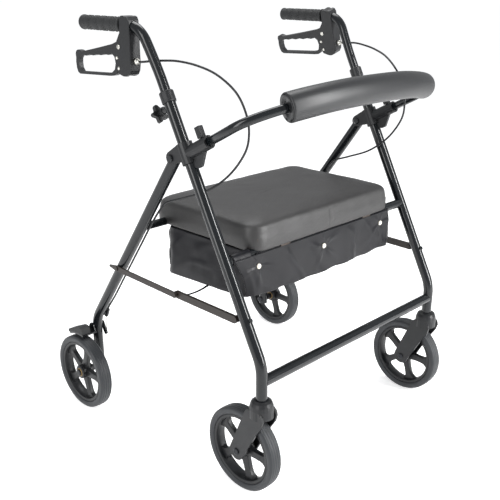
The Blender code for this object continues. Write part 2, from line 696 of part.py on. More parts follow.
whole = [on_leg(-0.0200, SOCKET_S), *back_path(pi / 2, 23),
         on_leg(-0.0200, SOCKET_S, 2 * LEG_X)]
finish(tube("backrest_tube", whole, BACK_R, 4), BLACK_STEEL)
pad = tube("backrest_pad", back_path(0.815, 13), PAD_R, 6)
cut(pad, tube("core", back_path(1.0, 15), 0.0107, 4))
finish(pad, FOAM)

catch = rod("right_backrest_catch", on_leg(-0.060, SOCKET_S + 0.0112),
            on_leg(-0.060, SOCKET_S + 0.0200), 0.0025, 10)
tab = box("tab", (-0.006, -0.067, SOCKET_S + 0.0150), (0.006, -0.053, SOCKET_S + 0.0390))
tab.data.transform(LEG)
join(catch, tab)
both(finish(catch, PLASTIC, on_leg(-0.060, SOCKET_S)))

# ---- seat: a board hinged on the front seat bar, under a padded cushion ----------------------
board = box("seat_board", (-0.2360, SEAT_FRONT + 0.0074, BOARD_Z),
            (0.2360, SEAT_REAR - 0.0075, BOARD_Z + 0.0100))
bar_at = Vector((0, SEAT_BAR_Y, SEAT_BAR_Z))
for x in (-0.15, 0.15):
    low, high = Vector((x - 0.015, 0, 0)), Vector((x + 0.015, 0, 0))
    join(board, rod("lug", bar_at + low, bar_at + high, 0.0148, 16),
         box("web", (x - 0.015, SEAT_BAR_Y - 0.008, SEAT_BAR_Z + 0.011),
             (x + 0.015, SEAT_BAR_Y + 0.008, BOARD_Z + 0.002)))
cut(board, rod("bar", bar_at - LEFT, bar_at + LEFT, SEAT_BAR_R + 0.0006, 16))
finish(board, WOOD, bar_at)


def rounded(low, high, radius, count=5):
    """A rectangle's outline with round corners, in two axes."""
    (a, b), (c, d) = low, high
    return (arc((c - radius, d - radius), radius, 0, 90, count)
            + arc((a + radius, d - radius), radius, 90, 180, count)
            + arc((a + radius, b + radius), radius, 180, 270, count)
            + arc((c - radius, b + radius), radius, 270, 360, count))


outline = rounded((-SEAT_HALF, SEAT_FRONT), (SEAT_HALF, SEAT_REAR), 0.034)
cushion = plate("seat_cushion", [outline], SKIRT_Z, SEAT_TOP,
                Matrix(((0, 1, 0, 0), (0, 0, 1, 0), (1, 0, 0, 0), (0, 0, 0, 1))))
edge = cushion.modifiers.new("edge", "BEVEL")
edge.width, edge.segments, edge.limit_method = 0.006, 2, "ANGLE"
edge.angle_limit = radians(60)
bake(cushion)
notch = (REST_BAR_Y - 0.0300, REST_BAR_Y + 0.0130)
cut(
    cushion,
    box("board_space", (-0.2375, SEAT_FRONT + 0.0065, 0.50), (0.2375, SEAT_REAR - 0.0060,
                                                             BOARD_Z + 0.0103)),
    box("notches", (-0.30, notch[0], 0.50), (0.30, notch[1], REST_BAR_Z + REST_BAR_R + 0.0012)),
    rod("hinge_room", bar_at - LEFT, bar_at + LEFT, 0.0152, 16),
)
finish(cushion, VINYL, bar_at)

# ---- pouch, hung between the seat bars, open at the top under the seat -----------------------
bag = box("storage_bag", (-0.2480, -0.2300, 0.4160), (0.2480, 0.0460, 0.5155))
join(bag, box("neck", (-0.2480, -0.2070, 0.5100), (0.2480, 0.0420, 0.5385)))
cut(bag, box("inside", (-0.2440, -0.2035, 0.4200), (0.2440, 0.0380, 0.56)))
finish(bag, NYLON)

# ---- cords: the brake cables, and the ties from the bag to the spreaders ---------------------
LEG_SIDE = Vector((0.0115, -0.0100, -0.0073))       # beside a rear leg, inside and in front


def beside_leg(z):
    return Vector((-LEG_X, rear_leg_y(z), z)) + LEG_SIDE


route = [
    (-0.3310, 0.0300, 0.9213), (-0.3310, 0.0130, 0.9215), (-0.3190, -0.0010, 0.9232),
    (-0.3045, -0.0260, 0.9252), (-0.2950, -0.0630, 0.9259), (-0.2880, -0.1150, 0.9201),
    (-0.2820, -0.1670, 0.9055), (-0.2770, -0.2150, 0.8757), (-0.2740, -0.2400, 0.8366),
    (-0.2730, -0.2472, 0.7971), (-0.2760, -0.2376, 0.7569), (-0.2820, -0.1966, 0.7056),
    (-0.2890, -0.1364, 0.6635), (-0.2970, -0.0642, 0.6345), (-0.3020, -0.0150, 0.6162),
    (-0.3030, 0.0060, 0.5980), beside_leg(0.5680), beside_leg(0.5250), beside_leg(0.4700), beside_leg(0.3900),
    beside_leg(0.3350), BARREL - BARREL_D * 0.020, BARREL, BARREL + BARREL_D * 0.014,
]
wire = [BARREL + BARREL_D * 0.0150, Vector((-0.3050, 0.2600, 0.2400)),
        Vector((-0.3016, 0.2660, 0.2180)), Vector((-0.3016, 0.2665, 0.1990))]


# The left cable leaves its turned brake outside the handle tube, and then comes round in front.
left_start = [
    (0.3535, 0.0300, 0.9249), (0.3535, 0.0120, 0.9251), (0.3505, -0.0070, 0.9265),
    (0.3445, -0.0300, 0.9280), (0.3310, -0.0650, 0.9265), (0.3130, -0.1150, 0.9201),
    (0.2950, -0.1670, 0.9055),
]
for side, mirror, start in (("right", 1, route[:7]), ("left", -1, left_start)):
    rest = [(p[0] * mirror, p[1], p[2]) for p in route[7:]]
    end = [(p.x * mirror, p.y, p.z) for p in wire]
    made = tube(f"{side}_brake_cable", smooth_path(start + rest, 62) + end, 0.0024, 1,
                [1.0] * 62 + [0.4] * 4)
    finish(made, PLASTIC)

tie = smooth_path([(-0.2330, -0.0700, 0.4131), (-0.2500, -0.0690, 0.4050),
                   (-0.2850, -0.0700, 0.4020), (-0.3225, -0.0735, 0.4080)], 12)
both(finish(tube("right_bag_tie", tie, 0.0025, 1), NYLON))
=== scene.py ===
import json
from math import atan2, cos, exp, pi, radians, sin, tan, tau

import bmesh
import bpy
import numpy as np
from mathutils import Matrix, Vector, noise


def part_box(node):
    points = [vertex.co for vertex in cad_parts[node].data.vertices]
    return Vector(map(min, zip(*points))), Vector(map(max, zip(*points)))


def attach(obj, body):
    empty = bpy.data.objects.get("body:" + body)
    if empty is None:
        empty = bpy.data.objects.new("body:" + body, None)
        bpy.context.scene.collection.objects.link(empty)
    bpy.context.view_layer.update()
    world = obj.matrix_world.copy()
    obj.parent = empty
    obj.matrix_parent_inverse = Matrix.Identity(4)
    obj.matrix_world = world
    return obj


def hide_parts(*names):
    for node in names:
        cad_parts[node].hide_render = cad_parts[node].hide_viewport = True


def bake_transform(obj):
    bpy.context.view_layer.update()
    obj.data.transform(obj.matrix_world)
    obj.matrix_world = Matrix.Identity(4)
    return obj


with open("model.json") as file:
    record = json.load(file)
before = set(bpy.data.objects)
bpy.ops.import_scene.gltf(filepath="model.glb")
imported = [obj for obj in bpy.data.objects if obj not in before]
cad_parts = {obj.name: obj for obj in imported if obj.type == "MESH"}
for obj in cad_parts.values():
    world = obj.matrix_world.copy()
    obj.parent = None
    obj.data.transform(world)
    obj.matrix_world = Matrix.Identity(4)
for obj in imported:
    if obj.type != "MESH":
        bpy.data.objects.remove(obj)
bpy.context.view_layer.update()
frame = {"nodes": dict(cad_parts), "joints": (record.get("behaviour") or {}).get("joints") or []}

# ---- camera, light and floor ----------------------------------------------------------------
# A plain pale floor under soft studio light: a broad softbox at the left, another overhead for
# the seat, and a tall narrow strip at the right that draws the long streaks down the tubes.
CAMERA_PLACE = Vector((-1.3275, -1.2977, 1.0830))
CAMERA_TURN = radians(45.92)        # heading, from +Y toward +X
CAMERA_TILT = radians(21.54)        # looking down
CAMERA_ROLL = radians(0.263)

camera = bpy.data.objects.new("camera", bpy.data.cameras.new("camera"))
bpy.context.scene.collection.objects.link(camera)
bpy.context.scene.camera = camera
camera.data.lens = 53.88
camera.data.sensor_width = 36
camera.data.shift_x = -0.0180
camera.data.shift_y = 0.0506
camera.matrix_world = (
    Matrix.Translation(CAMERA_PLACE)
    @ Matrix.Rotation(-CAMERA_TURN, 4, "Z")
    @ Matrix.Rotation(pi / 2 - CAMERA_TILT, 4, "X")
    @ Matrix.Rotation(CAMERA_ROLL, 4, "Z")
)


def hex_colour(text, alpha=1.0):
    """An sRGB hex colour as the linear values a shader takes."""
    out = []
    for i in (0, 2, 4):
        c = int(text.lstrip("#")[i : i + 2], 16) / 255
        out.append(c / 12.92 if c <= 0.04045 else ((c + 0.055) / 1.055) ** 2.4)
    return (*out, alpha)


def add_node(tree, kind, settings=None, links=None):
    """One node. settings are its properties and its inputs' values, by socket name or number;
    links lead from another node's output to one of its inputs."""
    made = tree.nodes.new(kind)
    for name, value in (settings or {}).items():
        if isinstance(name, int) or (name in made.inputs and not hasattr(made, str(name))):
            made.inputs[name].default_value = value
        else:
            setattr(made, name, value)
    for name, source in (links or {}).items():
        tree.links.new(source, made.inputs[name])
    return made


def new_material(name):
    """An empty material, with its tree and a Principled shader on its output."""
    made = bpy.data.materials.new(name)
    made.use_nodes = True
    made.node_tree.nodes.clear()
    shader = add_node(made.node_tree, "ShaderNodeBsdfPrincipled")
    add_node(made.node_tree, "ShaderNodeOutputMaterial", links={"Surface": shader.outputs[0]})
    return made, made.node_tree, shader


def softbox(name, place, target, size, power):
    """A white rectangular lamp at a place, turned to a target."""
    light = bpy.data.lights.new(name, "AREA")
    light.shape = "RECTANGLE"
    light.size, light.size_y = size
    light.energy = power
    lamp = bpy.data.objects.new(name, light)
    bpy.context.scene.collection.objects.link(lamp)
    lamp.location = place
    lamp.rotation_euler = (Vector(target) - Vector(place)).to_track_quat("-Z", "Y").to_euler()


softbox("tall_softbox", (-2.6, -0.2, 1.5), (0, 0, 0.5), (1.0, 2.4), 44)
softbox("overhead_softbox", (0.4, 0.8, 2.9), (0, -0.1, 0.4), (2.0, 1.2), 38)
softbox("right_strip", (0.9, -2.5, 1.5), (-0.1, 0, 0.5), (0.40, 2.6), 120)
bpy.context.scene.view_settings.view_transform = "Standard"

world = bpy.data.worlds.new("studio")
bpy.context.scene.world = world
world.use_nodes = True
world.node_tree.nodes["Background"].inputs["Color"].default_value = hex_colour("#f6f8fa")
world.node_tree.nodes["Background"].inputs["Strength"].default_value = 0.60

FLOOR_HALF = 60.0
floor_mesh = bpy.data.meshes.new("floor")
floor_mesh.from_pydata(
    [(-FLOOR_HALF, -FLOOR_HALF, 0), (FLOOR_HALF, -FLOOR_HALF, 0),
     (FLOOR_HALF, FLOOR_HALF, 0), (-FLOOR_HALF, FLOOR_HALF, 0)], [], [(0, 1, 2, 3)])
floor = bpy.data.objects.new("floor", floor_mesh)
bpy.context.scene.collection.objects.link(floor)
paper, tree, shader = new_material("matt_studio_paper")
shader.inputs["Base Color"].default_value = hex_colour("#f3f3f3")
shader.inputs["Roughness"].default_value = 0.9
shader.inputs["Specular IOR Level"].default_value = 0.0
shader.inputs["Emission Color"].default_value = hex_colour("#ffffff")
shader.inputs["Emission Strength"].default_value = 0.52       # lit through, like a light table
floor_mesh.materials.append(paper)

# ---- welded frame ---------------------------------------------------------------------------
# Legs, cross tubes, handle tubes and backrest tube are steel tube, powder-coated gloss black:
# a hard, slightly rippled skin that takes a sharp streak of light along each tube.
RIPPLE_MM = 1.6

powder_coat, tree, shader = new_material("gloss_black_powder_coat")
place = add_node(tree, "ShaderNodeTexCoord").outputs["Object"]
ripple = add_node(tree, "ShaderNodeTexNoise", {"Scale": 1000 / RIPPLE_MM, "Detail": 1.0},
                  {"Vector": place})
cloud = add_node(tree, "ShaderNodeTexNoise", {"Scale": 14.0, "Detail": 4.0}, {"Vector": place})
tint = add_node(tree, "ShaderNodeMix", {"data_type": "RGBA", 6: hex_colour("#0b0e10"),
                                        7: hex_colour("#111417")}, {0: cloud.outputs["Fac"]})
dull = add_node(tree, "ShaderNodeMapRange", {"From Min": 0.3, "From Max": 0.7, "To Min": 0.14,
                                             "To Max": 0.20}, {0: cloud.outputs["Fac"]})
bump = add_node(tree, "ShaderNodeBump", {"Strength": 0.02, "Distance": 0.0001},
                {"Height": ripple.outputs["Fac"]})
for socket, source in (("Base Color", tint.outputs[2]), ("Roughness", dull.outputs[0]),
                       ("Normal", bump.outputs[0])):
    tree.links.new(source, shader.inputs[socket])
shader.inputs["Specular IOR Level"].default_value = 0.34
shader.inputs["Coat Weight"].default_value = 0.12
shader.inputs["Coat Roughness"].default_value = 0.05


def give(material, slot, *names):
    """CAD nodes take a finish; a name that starts with * stands for both sides."""
    for name in names:
        for node in ([name.replace("*", s) for s in ("right_", "left_")]
                     if name.startswith("*") else [name]):
            mesh = frame["nodes"][node].data
            mesh.materials.clear()
            mesh.materials.append(material)


give(powder_coat, "gloss_black_steel", "*front_leg", "*rear_leg", "lower_crossbar",
     "front_seat_bar", "rear_seat_bar", "*brake_arm", "*pivot_bolt")

# ---- handle tubes and backrest tube ---------------------------------------------------------
# The two bent tubes that slide in the frame, of the same coated steel, drawn round. Each
# handle tube leans outward as it rises, and turns back level to carry its grip.
HANDLE_R = 0.0111
HANDLE_BEND_R = 0.060
HANDLE_REAR = 0.2085
HANDLE_FOOT, LEAN_FROM = 0.36, 0.635        # up the leg from its bend
KNOB_UP = 0.5775
BACK_R = 0.0095
BACK_SOCKET_UP = 0.4724
BACK_FOOT = 0.020           # its ends start this far behind the leg's axis
BACK_ARM, BACK_CROWN, BACK_POWER, BACK_RISE = 0.144, 0.1185, 2.1, 0.005

joints = {j["name"]: j for j in frame["joints"]}
leg_up = Vector(joints["right_handle_height"]["axis"])
knob_at = Vector(joints["right_knob_turn"]["pos_m"])
pull = Vector(joints["backrest_pull"]["axis"])
LEG_X = -knob_at.x
grip_low, grip_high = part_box("left_hand_grip")
GRIP = (grip_low + grip_high) / 2


def on_leg(up, back=0.0, x=-LEG_X):
    """A point up the front leg from its bend, and behind its axis."""
    return Vector((x, knob_at.y, knob_at.z)) + leg_up * (up - KNOB_UP) - pull * back


def link_mesh(name, mesh):
    """A new object for a mesh, in the scene."""
    made = bpy.data.objects.new(name, mesh)
    bpy.context.scene.collection.objects.link(made)
    return made


def lofted(name, rings, cap_start=True, cap_end=True):
    """A mesh through rings of equal count; its ends are closed with a fan where asked."""
    work = bmesh.new()
    rows = [[work.verts.new(p) for p in ring] for ring in rings]
    for low, high in zip(rows, rows[1:]):
        for i in range(len(low)):
            j = (i + 1) % len(low)
            work.faces.new((low[i], low[j], high[j], high[i]))
    for row, wanted in ((rows[0], cap_start), (rows[-1], cap_end)):
        if wanted:
            middle = work.verts.new(sum((v.co for v in row), Vector()) / len(row))
            for i in range(len(row)):
                work.faces.new((row[i], row[(i + 1) % len(row)], middle))
    bmesh.ops.recalc_face_normals(work, faces=work.faces)
    mesh = bpy.data.meshes.new(name)
    work.to_mesh(mesh)
    work.free()
    return link_mesh(name, mesh)


def sleeve(name, points, radii, sides=40):
    """A round skin along points with a radius at each. Points that stand at one place share
    a direction, so that a flat end can be drawn."""
    rings, across = [], Vector((0, 0.3, 1))
    for i, (point, radius) in enumerate(zip(points, radii)):
        low, high = i, i
        while low > 0 and (points[low] - point).length < 1e-4:
            low -= 1
        while high < len(points) - 1 and (points[high] - point).length < 1e-4:
            high += 1
        ahead = (points[high] - points[low]).normalized()
        across = (across - ahead * across.dot(ahead)).normalized()
        other = ahead.cross(across)
        rings.append([point + (across * cos(tau * k / sides) + other * sin(tau * k / sides))
                      * radius for k in range(sides)])
    return lofted(name, rings)


def dress(obj, material, slot, body, *replaced):
    """Finishes a piece: smooth faces, its material, what it rides on and replaces. The slot is not
    used.
    """
    obj.data.materials.clear()
    obj.data.materials.append(material)
    obj.data.shade_smooth()
    if body:
        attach(obj, body)
    if replaced:
        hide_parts(*replaced)
    return obj


TUBE_R = 0.0127
COAT = 0.00012              # the legs' coat, drawn round over the tubes
LEG_BEND_R = 0.10
FRONT_FOOT_Z, FRONT_TOP = 0.2485, 0.597
REAR_BEND_Z, REAR_FOOT_Z, REAR_PIVOT_UP = 0.2401, 0.0860, 0.009


def bent_tube(start, corner, end, radius, count=20):
    """A line from start to end, its corner rounded to a radius."""
    into, out = (corner - start).normalized(), (end - corner).normalized()
    angle = into.angle(out)
    axis = into.cross(out).normalized()
    centre = corner + (out - into).normalized() * radius / cos(angle / 2)
    first = corner - into * radius * tan(angle / 2) - centre
    bend = [centre + Matrix.Rotation(angle * i / count, 3, axis) @ first
            for i in range(count + 1)]
    return [start, *bend, end]


front_corner = on_leg(0)
rear_axle_low, rear_axle_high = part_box("right_rear_axle")
rear_y = (rear_axle_low.y + rear_axle_high.y) / 2
fold_at = Vector(joints["frame_fold"]["pos_m"])
rear_corner = Vector((-LEG_X, rear_y, REAR_BEND_Z))
rear_top = Vector((-LEG_X, fold_at.y, fold_at.z))
rear_top += (rear_top - rear_corner).normalized() * REAR_PIVOT_UP
for side, mirror in (("right", 1), ("left", -1)):
    for part, body, line in (
            ("front", "frame", bent_tube(Vector((-LEG_X, front_corner.y, FRONT_FOOT_Z)),
                                         front_corner, on_leg(FRONT_TOP), LEG_BEND_R)),
            ("rear", "rear_frame", bent_tube(rear_top, rear_corner,
                                             Vector((-LEG_X, rear_y, REAR_FOOT_Z)),
                                             LEG_BEND_R))):
        line = [Vector((p.x * mirror, p.y, p.z)) for p in line]
        coat = sleeve(f"{side}_{part}_coat", line, [TUBE_R + COAT] * len(line))
        work = bmesh.new()
        work.from_mesh(coat.data)
        bmesh.ops.delete(work, geom=[f for f in work.faces if len(f.verts) == 3],
                         context="FACES")
        work.to_mesh(coat.data)
        work.free()
        dress(coat, powder_coat, "gloss_black_steel", body)

top = on_leg(KNOB_UP + (GRIP.z - knob_at.z) / leg_up.z)
foot, end = on_leg(HANDLE_FOOT), Vector((-LEG_X, HANDLE_REAR, GRIP.z))
angle = leg_up.angle(end - top)
reach = HANDLE_BEND_R * tan(angle / 2)
axis = leg_up.cross(end - top).normalized()
hub = top + ((end - top).normalized() - leg_up).normalized() * HANDLE_BEND_R / cos(angle / 2)
line = [foot.lerp(on_leg(LEAN_FROM), i / 3) for i in range(3)]
line += [on_leg(LEAN_FROM).lerp(top - leg_up * reach, i / 8) for i in range(8)]
line += [hub + Matrix.Rotation(angle * i / 28, 3, axis) @ (top - leg_up * reach - hub)
         for i in range(29)] + [end]
for point in line[3:]:
    share = min(max((point.z - line[3].z) / (line[-2].z - line[3].z), 0), 1)
    point.x = -LEG_X - (GRIP.x - LEG_X) * share**1.5
for side, mirror in (("right", 1), ("left", -1)):
    path = [Vector((p.x * mirror, p.y, p.z)) for p in line]
    dress(sleeve(f"{side}_bent_handle", path, [HANDLE_R] * len(path)), powder_coat,
          "gloss_black_steel", f"{side}_handle", f"{side}_handle_tube")


def back_point(turn):
    """A point of the backrest's bend; turn runs from a quarter turn right to one left."""
    bend = cos(turn) ** (2 / BACK_POWER)
    x = LEG_X * (1 if turn > 0 else -1) * abs(sin(turn)) ** (2 / BACK_POWER)
    return (on_leg(BACK_SOCKET_UP, -BACK_ARM - BACK_CROWN * bend, x)
            + Vector((0, 0, BACK_RISE * bend)))


line = [on_leg(BACK_SOCKET_UP, -BACK_FOOT)]
line += [back_point(pi / 2 * sin(pi / 2 * (i / 60 - 1))) for i in range(121)]
line += [on_leg(BACK_SOCKET_UP, -BACK_FOOT, LEG_X)]
dress(sleeve("bent_back_tube", line, [BACK_R] * len(line)), powder_coat, "gloss_black_steel",
      "backrest", "backrest_tube")

# ---- spreader bars --------------------------------------------------------------------------
# Flat steel bars stamped with round ends and riveted, in a thinner, satin, brown-black coat.
bar_coat, tree, shader = new_material("satin_brown_black_coat")
place = add_node(tree, "ShaderNodeTexCoord").outputs["Object"]
cloud = add_node(tree, "ShaderNodeTexNoise", {"Scale": 60.0, "Detail": 5.0}, {"Vector": place})
tint = add_node(tree, "ShaderNodeMix", {"data_type": "RGBA", 6: hex_colour("#1f1a17"),
                                        7: hex_colour("#2a2420")}, {0: cloud.outputs["Fac"]})
grain = add_node(tree, "ShaderNodeTexNoise", {"Scale": 1400.0}, {"Vector": place})
bump = add_node(tree, "ShaderNodeBump", {"Strength": 0.3, "Distance": 0.0001},
                {"Height": grain.outputs["Fac"]})
tree.links.new(tint.outputs[2], shader.inputs["Base Color"])
tree.links.new(bump.outputs[0], shader.inputs["Normal"])
shader.inputs["Roughness"].default_value = 0.42
shader.inputs["Specular IOR Level"].default_value = 0.35
give(bar_coat, "brown_black_steel", "*front_spreader", "*rear_spreader")

# ---- moulded fittings -----------------------------------------------------------------------
# Brackets, collars, knobs, forks, hubs, brake housings and levers are glass-filled nylon from
# the mould: a fine spark-eroded texture, a soft sheen, and a slightly paler face where it sinks.
SPARK_MM = 0.9      # real texture is near 0.1 mm: drawn coarser, so that it shows

moulded, tree, shader = new_material("moulded_black_nylon")
place = add_node(tree, "ShaderNodeTexCoord").outputs["Object"]
spark = add_node(tree, "ShaderNodeTexNoise", {"Scale": 1000 / SPARK_MM, "Detail": 2.0},
                 {"Vector": place})
cloud = add_node(tree, "ShaderNodeTexNoise", {"Scale": 35.0, "Detail": 4.0}, {"Vector": place})
tint = add_node(tree, "ShaderNodeMix", {"data_type": "RGBA", 6: hex_colour("#141517"),
                                        7: hex_colour("#1b1c1e")}, {0: cloud.outputs["Fac"]})
dull = add_node(tree, "ShaderNodeMapRange", {"From Min": 0.3, "From Max": 0.7, "To Min": 0.34,
                                             "To Max": 0.48}, {0: cloud.outputs["Fac"]})
bump = add_node(tree, "ShaderNodeBump", {"Strength": 0.35, "Distance": 0.0001},
                {"Height": spark.outputs["Fac"]})
for socket, source in (("Base Color", tint.outputs[2]), ("Roughness", dull.outputs[0]),
                       ("Normal", bump.outputs[0])):
    tree.links.new(source, shader.inputs[socket])
shader.inputs["Specular IOR Level"].default_value = 0.35
give(moulded, "black_plastic", "*side_bracket", "*height_collar", "*clamp_knob",
     "*brake_housing", "*brake_lever", "*caster_fork", "*backrest_catch")

# ---- axles, pins and adjusters --------------------------------------------------------------
# Steel turned and bright zinc plated: pale, faintly streaked round the turning, not a mirror.
zinc, tree, shader = new_material("bright_zinc_plate")
place = add_node(tree, "ShaderNodeTexCoord").outputs["Object"]
cloud = add_node(tree, "ShaderNodeTexNoise", {"Scale": 220.0, "Detail": 4.0}, {"Vector": place})
dull = add_node(tree, "ShaderNodeMapRange", {"To Min": 0.22, "To Max": 0.42},
                {0: cloud.outputs["Fac"]})
tint = add_node(tree, "ShaderNodeMix", {"data_type": "RGBA", 6: hex_colour("#b9b8b2"),
                                        7: hex_colour("#d3d1ca")}, {0: cloud.outputs["Fac"]})
tree.links.new(tint.outputs[2], shader.inputs["Base Color"])
tree.links.new(dull.outputs[0], shader.inputs["Roughness"])
shader.inputs["Metallic"].default_value = 1.0
give(zinc, "zinc_steel", "*lever_pin")

# The axles are of the same turned steel, but blacked in a hot salt bath and oiled.
blacked, tree, shader = new_material("black_oxide_steel")
place = add_node(tree, "ShaderNodeTexCoord").outputs["Object"]
cloud = add_node(tree, "ShaderNodeTexNoise", {"Scale": 180.0, "Detail": 4.0}, {"Vector": place})
tint = add_node(tree, "ShaderNodeMix", {"data_type": "RGBA", 6: hex_colour("#232426"),
                                        7: hex_colour("#34363a")}, {0: cloud.outputs["Fac"]})
tree.links.new(tint.outputs[2], shader.inputs["Base Color"])
shader.inputs["Metallic"].default_value = 0.8
shader.inputs["Roughness"].default_value = 0.38
give(blacked, "zinc_steel", "*rear_axle", "*caster_axle")

# ---- tyres ----------------------------------------------------------------------------------
# Solid tyres of grey-black polyurethane foam: matt, faintly dusty, their tread flat between
# sharp shoulders, with fine grooves moulded round it.
tyre_skin, tree, shader = new_material("grey_black_tyre")
place = add_node(tree, "ShaderNodeTexCoord").outputs["Object"]
cloud = add_node(tree, "ShaderNodeTexNoise", {"Scale": 40.0, "Detail": 6.0}, {"Vector": place})
tint = add_node(tree, "ShaderNodeMix", {"data_type": "RGBA", 6: hex_colour("#222427"),
                                        7: hex_colour("#2d2f32")}, {0: cloud.outputs["Fac"]})
tree.links.new(tint.outputs[2], shader.inputs["Base Color"])
shader.inputs["Roughness"].default_value = 0.48
shader.inputs["Specular IOR Level"].default_value = 0.4

TREAD_GROOVES, GROOVE_POINTS = 4, 6
GROOVE_DEPTH, CROWN_DROP, SHOULDER = 0.0018, 0.0009, 0.0036
# The side wall, as (radius, distance in from the tyre's side).
TYRE_WALL = ((0.0846, 0.0030), (0.0870, 0.0014), (0.0900, 0.0004), (0.0950, 0.0),
             (0.0982, 0.0010), (0.0998, 0.0028))
WHEELS = ("rear_wheel", "caster_wheel")


def lathe(name, profile, steps, place):
    """A turned piece: (radius, distance along +Z) pairs turned right round, then placed."""
    work = bmesh.new()
    rows = []
    for radius, along in profile:
        rows.append([work.verts.new((radius * cos(tau * k / steps), radius * sin(tau * k / steps),
                                     along)) for k in range(steps)] if radius > 1e-6
                    else [work.verts.new((0, 0, along))] * steps)
    for low, high in zip(rows, rows[1:]):
        for i in range(steps):
            j = (i + 1) % steps
            corners = []
            for v in (low[i], low[j], high[j], high[i]):
                if v not in corners:
                    corners.append(v)
            if len(corners) > 2:
                work.faces.new(corners)
    bmesh.ops.remove_doubles(work, verts=work.verts, dist=1e-6)
    bmesh.ops.recalc_face_normals(work, faces=work.faces)
    mesh = bpy.data.meshes.new(name)
    work.to_mesh(mesh)
    work.free()
    mesh.transform(place)
    return link_mesh(name, mesh)


def merged(name, pieces):
    """Several meshes as one piece."""
    work = bmesh.new()
    for piece in pieces:
        work.from_mesh(piece.data)
        bpy.data.objects.remove(piece)
    mesh = bpy.data.meshes.new(name)
    work.to_mesh(mesh)
    work.free()
    return link_mesh(name, mesh)


def wheel_place(node):
    """The middle of a wheel, with +Z turned to the axle."""
    low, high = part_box(node)
    return Matrix.Translation((low + high) / 2) @ Matrix.Rotation(pi / 2, 4, "Y")


for side in ("right", "left"):
    for wheel in WHEELS:
        node = f"{side}_{wheel}_tyre"
        low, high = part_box(node)
        outer, half = (high.z - low.z) / 2, (high.x - low.x) / 2
        wall = [(radius, half - inset) for radius, inset in TYRE_WALL]
        flat = half - SHOULDER
        tread = []
        for k in range(TREAD_GROOVES * GROOVE_POINTS + 1):
            across = flat - 2 * flat * k / (TREAD_GROOVES * GROOVE_POINTS)
            crown = outer - CROWN_DROP * (across / flat) ** 2
            cut = GROOVE_DEPTH if k % GROOVE_POINTS == GROOVE_POINTS // 2 else 0.0
            tread.append((crown - cut, across))
        profile = wall + tread + [(radius, -along) for radius, along in reversed(wall)]
        tyre = lathe(node + "_grooved", profile + [wall[0]], 112, wheel_place(node))
        dress(tyre, tyre_skin, "grey_black_tyre", f"{side}_{wheel}", node)

# ---- wheel hubs -----------------------------------------------------------------------------
# Each hub is one nylon moulding: a deep rim, a core on the axle and five flat spokes that
# widen into the rim. The rear hubs show the sintered bronze bushes that they run on: a warm,
# brown, oil-dulled metal.
SPOKES = 5
FIRST_SPOKE = radians(-17)
SPOKE_HALF_THICK = 0.0060
SPOKE_OUTLINE = ((0.0150, 0.0125), (0.0250, 0.0096), (0.0400, 0.0082), (0.0550, 0.0084),
                 (0.0650, 0.0102), (0.0710, 0.0138), (0.0745, 0.0185), (0.0768, 0.0215))
# Half profiles, as (radius, distance from the wheel's middle).
RIM = ((0.0842, 0.0130), (0.0834, 0.0138), (0.0785, 0.0138), (0.0772, 0.0130),
       (0.0752, 0.0060), (0.0748, 0.0))
CORE = ((0.0054, 0.0170), (0.0168, 0.0170), (0.0180, 0.0160), (0.0186, 0.0070))
BUSH = ((0.0092, 0.0165), (0.0092, 0.0182), (0.0108, 0.0184), (0.0118, 0.0174),
        (0.0118, 0.0165))


def apply_all(obj):
    """Replaces a piece's mesh with what its modifiers make of it."""
    bpy.context.view_layer.update()
    graph = bpy.context.evaluated_depsgraph_get()
    mesh = bpy.data.meshes.new_from_object(obj.evaluated_get(graph))
    obj.modifiers.clear()
    obj.data = mesh
    return obj


